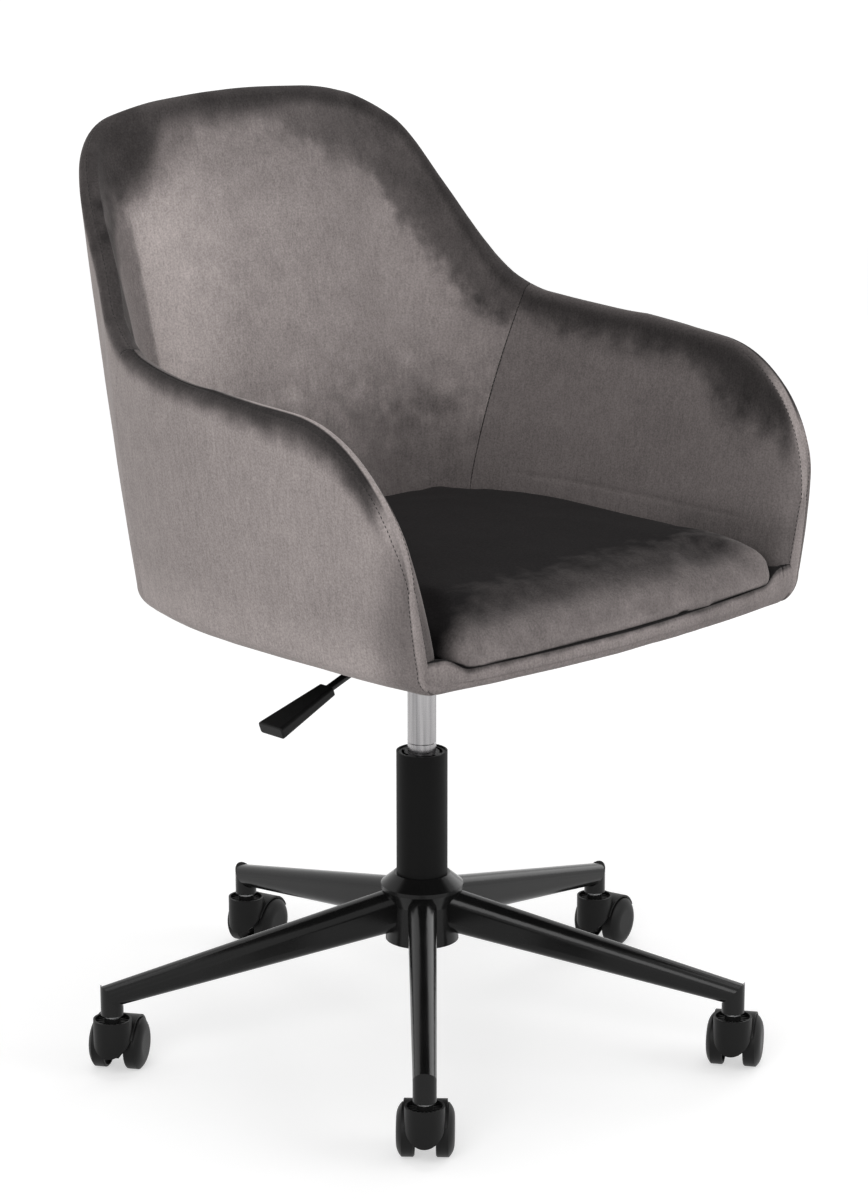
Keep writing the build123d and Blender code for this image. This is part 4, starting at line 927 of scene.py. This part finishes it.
def seat_cushion():
    """Loose seat cushion, filled by simulation, with a few soft creases."""
    body = cushion_body()
    remesh = body.modifiers.new("even", "REMESH")
    remesh.mode = "VOXEL"
    remesh.voxel_size = CUSHION_VOXEL
    piece = baked(body, "seat_cushion_filled")
    swell(piece)
    smooth = piece.modifiers.new("settle", "SMOOTH")
    smooth.iterations = SETTLE_ROUNDS
    finer = piece.modifiers.new("finer", "SUBSURF")
    finer.levels = finer.render_levels = 1
    piece = baked(piece, "cushion_upholstery")
    places = places_of(piece)
    upper = ease(CUSHION_BOTTOM, CUSHION_BOTTOM + 0.03, places[:, 2])
    places[:, 2] -= CUSHION_BACK_DROP * upper * ease(0.02, 0.22, places[:, 1])
    move_to(piece, places)
    push_out(piece, upper * uneven(places, CUSHION_WAVES))
    move_to(piece, np.maximum(places_of(piece), (-1, -1, CUSHION_LOWEST)))
    places = places_of(piece)
    bow = CUSHION_FRONT + CUSHION_BOW_RADIUS - np.sqrt(CUSHION_BOW_RADIUS ** 2 - places[:, 0] ** 2)
    behind = places[:, 1] - bow
    # Lay with painted shade: pale on the front roll, dark on the up-facing top; a little darker at the left
    # front, a little paler at the right front
    lay_and_shade = np.interp(behind, *np.array(CUSHION_LAY_AND_SHADE).T)
    edge = ease(0.13, 0.02, behind)
    left = ease(-0.13, -0.205, places[:, 0]) * edge
    right = ease(0.04, 0.19, places[:, 0]) * edge * ease(0.01, 0.03, behind)
    lay_and_shade = lay_and_shade + 0.16 * left * ease(0.004, 0.03, behind) - 0.03 * right
    # Painted shade on the underside
    lay_and_shade = lay_and_shade + 0.6 * ease(-0.3, -0.7, normals_of(piece)[:, 2])
    store_lay_and_shade(piece, lay_and_shade, 0.07 + 0.07 * edge + 0.10 * right)
    return piece


def put(tree, socket, value):
    """Puts a number, a colour or another node's output on an input socket."""
    if isinstance(value, bpy.types.NodeSocket):
        tree.links.new(value, socket)
    else:
        socket.default_value = value


def feed(tree, node, **inputs):
    """Puts values or other nodes' outputs on a node's named inputs."""
    for name, value in inputs.items():
        put(tree, node.inputs[name.replace("_", " ")], value)


def new_node(tree, kind, **inputs):
    """New shader node of a kind, with its inputs fed."""
    node = tree.nodes.new("ShaderNode" + kind)
    feed(tree, node, **inputs)
    return node


def computed(tree, operation, *values):
    """Result of a sum on outputs and numbers."""
    node = new_node(tree, "Math")
    node.operation = operation
    for socket, value in zip(node.inputs, values):
        put(tree, socket, value)
    return node.outputs[0]


def total(tree, first, *others):
    """Sum of several outputs."""
    for other in others:
        first = computed(tree, "ADD", first, other)
    return first


def weighed(tree, source, weight, level=0.0):
    """A level, and weight times the noise's distance from its middle."""
    return computed(tree, "MULTIPLY_ADD", source, weight, level - weight * 0.5)


def object_place(tree):
    """Place on the object, in its own metres."""
    return new_node(tree, "TexCoord").outputs["Object"]


def object_noise(tree, scale, detail, stretch=(1, 1, 1)):
    """Noise fixed to the object, with so many spots a metre."""
    place = new_node(tree, "Mapping", Vector=object_place(tree), Scale=stretch).outputs["Vector"]
    return new_node(tree, "TexNoise", Vector=place, Scale=scale, Detail=detail).outputs["Fac"]


def attribute(tree, name):
    """Value stored on the mesh's vertices."""
    node = new_node(tree, "Attribute")
    node.attribute_name = name
    return node.outputs["Fac"]


def mapped(tree, source, before, after):
    """A value moved from one range to another, held at both ends."""
    return new_node(tree, "MapRange", Value=source, From_Min=before[0], From_Max=before[1],
                    To_Min=after[0], To_Max=after[1]).outputs["Result"]


def coloured(tree, source, stops):
    """Colour of a value, from (place, colour) stops."""
    ramp = new_node(tree, "ValToRGB", Fac=source)
    places = ramp.color_ramp.elements
    while len(places) < len(stops):
        places.new(0.5)
    for element, (place, colour) in zip(places, stops):
        element.position = place
        element.color = (*colour, 1)
    return ramp.outputs["Color"]


def bumped(tree, source, distance, strength):
    """Surface normal raised by a value."""
    return new_node(tree, "Bump", Height=source, Distance=distance, Strength=strength).outputs["Normal"]


def new_material(name, look, *values):
    """Material whose shader is fed with what a look makes in its node tree."""
    made = bpy.data.materials.new(name)
    made.use_nodes = True
    tree = made.node_tree
    feed(tree, tree.nodes["Principled BSDF"], **look(tree, *values))
    return made


def velvet(tree):
    """Short taupe pile: dark and pale lay with painted shade, a ragged edge, faint streaks, patches and fine
    grain.
    """
    edge = object_noise(tree, 42, 6)
    streaks = object_noise(tree, 1, 3, (380, 380, 9))
    patches = object_noise(tree, 9, 4)
    grain = object_noise(tree, 560, 2)
    stray = computed(tree, "MULTIPLY", attribute(tree, "ragged"), weighed(tree, edge, 2.0))
    ragged_lay_and_shade = total(tree, attribute(tree, "lay_and_shade"), stray)
    marks = total(tree, weighed(tree, streaks, 0.42, 1.0), weighed(tree, patches, 0.36),
                  weighed(tree, grain, 0.9))
    shade = new_node(tree, "VectorMath")
    shade.operation = "SCALE"
    feed(tree, shade, Vector=coloured(tree, ragged_lay_and_shade, VELVET_LAY_AND_SHADE), Scale=marks)
    return dict(Base_Color=shade.outputs["Vector"], Normal=bumped(tree, grain, 0.0006, 0.35), Roughness=0.95,
                Specular_IOR_Level=0.06, Sheen_Weight=mapped(tree, ragged_lay_and_shade, (0.8, 1.0), (0.25, 0.02)),
                Sheen_Roughness=0.35, Sheen_Tint=(0.92, 0.87, 0.85, 1))


def thread(tree):
    """Dark sewing thread with a fine twist."""
    twist = object_noise(tree, 2600, 1)
    colour = coloured(tree, twist, [(0.3, (0.006, 0.0055, 0.0055)), (0.7, (0.022, 0.020, 0.019))])
    return dict(Base_Color=colour, Normal=bumped(tree, twist, 0.0002, 0.4), Roughness=0.7,
                Specular_IOR_Level=0.3)


def black_coat(tree, shade, gloss, roughness, grain, strength):
    """Black coat or plastic with a fine skin and slight change of gloss."""
    skin = object_noise(tree, grain, 2)
    cloudy = object_noise(tree, 24, 3)
    colour = coloured(tree, cloudy, [(0.3, (shade * 0.85,) * 3), (0.7, (shade * 1.2,) * 3)])
    return dict(Base_Color=colour, Normal=bumped(tree, skin, 0.0003, strength), Specular_IOR_Level=gloss,
                Roughness=mapped(tree, cloudy, (0, 1), (roughness - 0.05, roughness + 0.06)))


def ground_steel(tree):
    """Ground steel with fine lines round it and faint streaks along it."""
    lines = object_noise(tree, 1, 3, (60, 60, 5200))
    streaks = object_noise(tree, 1, 2, (260, 260, 9))
    colour = coloured(tree, streaks, [(0.3, (0.24, 0.235, 0.24)), (0.7, (0.40, 0.39, 0.395))])
    return dict(Base_Color=colour, Normal=bumped(tree, lines, 0.0001, 0.15), Metallic=1.0,
                Roughness=mapped(tree, lines, (0, 1), (0.20, 0.34)))


def zinc_steel(tree):
    """Small plated fasteners and bearing parts."""
    cloudy = object_noise(tree, 300, 3)
    colour = coloured(tree, cloudy, [(0.3, (0.42, 0.43, 0.44)), (0.7, (0.60, 0.60, 0.60))])
    return dict(Base_Color=colour, Metallic=1.0, Roughness=mapped(tree, cloudy, (0, 1), (0.28, 0.42)))


def dust_cloth(tree):
    """Black spun cloth with a fine pressed pattern."""
    dots = object_noise(tree, 700, 1)
    fibres = object_noise(tree, 1, 4, (900, 140, 900))
    value = total(tree, weighed(tree, dots, 0.6, 0.3), weighed(tree, fibres, 0.4, 0.2))
    colour = coloured(tree, value, [(0.35, (0.010, 0.010, 0.010)), (0.65, (0.030, 0.030, 0.030))])
    return dict(Base_Color=colour, Normal=bumped(tree, value, 0.0004, 0.5), Roughness=0.95,
                Specular_IOR_Level=0.15)


def dress_frame():
    """Gives every carried-over CAD node its material, by the record's slots; the seat board is lined."""
    coat, matt, plastic, nylon = (new_material(name, black_coat, *values) for name, values in BLACKS.items())
    lining, zinc = new_material("dust_cloth", dust_cloth), new_material("zinc_steel", zinc_steel)
    by_slot = {"black_steel": coat, "bright_steel": zinc, "black_plastic": plastic, "wheel_nylon": nylon,
               "plywood": lining, "black_cloth": lining, "velvet": coat}
    by_node = {"gas_cylinder": new_material("ground_steel", ground_steel), "column_tube": matt}
    slots = {entry["node"]: entry["material_slot"] for entry in frame["record"]["subparts"]}
    for name, node in nodes.items():
        node.data.materials.clear()
        node.data.materials.append(by_node.get(name, by_slot.get(slots.get(name), coat)))


def aim(thing, place, ahead):
    """Puts a lamp or camera at a place, looking ahead."""
    thing.location = place
    thing.rotation_mode = "QUATERNION"
    thing.rotation_quaternion = ahead.to_track_quat("-Z", "Y")


def soft_lamp(name, place, size, power):
    """Soft lamp that looks at the chair."""
    data = bpy.data.lights.new(name, "AREA")
    data.shape = "RECTANGLE"
    data.size, data.size_y = size
    data.energy = power
    aim(placed(name, data), place, Vector(LAMP_TARGET) - Vector(place))


def seen_directly(tree):
    """1 for what the camera, a mirror or glass sees, 0 for light that falls on things."""
    rays = new_node(tree, "LightPath").outputs
    seen = computed(tree, "MAXIMUM", rays["Is Camera Ray"], rays["Is Glossy Ray"])
    return computed(tree, "MAXIMUM", seen, rays["Is Transmission Ray"])


def pale_floor():
    """Pale matt floor with a glow of its own where it is seen directly."""
    made = bpy.data.materials.new("pale_floor")
    made.use_nodes = True
    tree = made.node_tree
    tree.nodes.remove(tree.nodes["Principled BSDF"])
    matt = new_node(tree, "BsdfDiffuse", Color=(FLOOR_SHADE, FLOOR_SHADE, FLOOR_SHADE, 1))
    distance = new_node(tree, "VectorMath", Vector=object_place(tree))
    distance.operation = "LENGTH"
    own = mapped(tree, distance.outputs["Value"], FLOOR_GLOW_REACH, FLOOR_GLOW)
    glow = new_node(tree, "Emission", Strength=computed(tree, "MULTIPLY", own, seen_directly(tree)))
    both = new_node(tree, "AddShader")
    for socket, part in zip(both.inputs, (matt, glow)):
        put(tree, socket, part.outputs[0])
    feed(tree, tree.nodes["Material Output"], Surface=both.outputs[0])
    return made


def studio():
    """White world, pale floor that keeps the shadow, and soft lamps."""
    world = bpy.data.worlds.new("studio")
    bpy.context.scene.world = world
    world.use_nodes = True
    tree = world.node_tree
    feed(tree, tree.nodes["Background"], Color=(1, 1, 1, 1),
         Strength=mapped(tree, seen_directly(tree), (0, 1), (WORLD_LIGHT, 1.0)))
    corners = [(x * FLOOR_REACH, y * FLOOR_REACH, 0) for x, y in ((-1, -1), (1, -1), (1, 1), (-1, 1))]
    floor = mesh_object("floor", corners, [(0, 1, 2, 3)])
    floor.data.materials.append(pale_floor())
    for lamp in LAMPS:
        soft_lamp(*lamp)
    bpy.context.scene.view_settings.view_transform = "Standard"


def place_camera():
    """Camera at the photograph's place and angle."""
    data = bpy.data.cameras.new("camera")
    data.lens = CAMERA_LENS
    data.sensor_width = CAMERA_SENSOR
    right = Vector((*heading(CAMERA_AZIMUTH), 0))
    away = Vector((-right.y, right.x, 0))
    forward, aside = heading(CAMERA_YAW)
    level, fall = heading(CAMERA_PITCH)
    camera = placed("camera", data)
    aim(camera, CAMERA_PLACE, (right * aside + away * forward) * level - Vector((0, 0, fall)))
    bpy.context.scene.camera = camera


def upholster():
    """Makes the soft pieces and their sewing, in place of the CAD solids."""
    cloth, sewing = new_material("velvet", velvet), new_material("thread", thread)
    right_arm, right_paths = arm_pad("right_arm_upholstery", 1)
    left_arm, left_paths = arm_pad("left_arm_upholstery", -1)
    back, back_paths = back_pad()
    rail = front_rail()
    cushion = seat_cushion()
    made = {"right_arm_pad": right_arm, "left_arm_pad": left_arm, "back_pad": back, "front_rail": rail,
            "seat_cushion": cushion}
    for node, piece in made.items():
        piece.data.materials.clear()
        piece.data.materials.append(cloth)
        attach(piece, "seat")
        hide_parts(node)
    for name, piece, paths in (("right_arm_stitches", right_arm, right_paths),
                               ("left_arm_stitches", left_arm, left_paths),
                               ("back_stitches", back, back_paths)):
        row = stitches(name, [(piece, path) for path in paths])
        row.data.materials.append(sewing)
        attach(row, "seat")


dress_frame()
upholster()
studio()
place_camera()
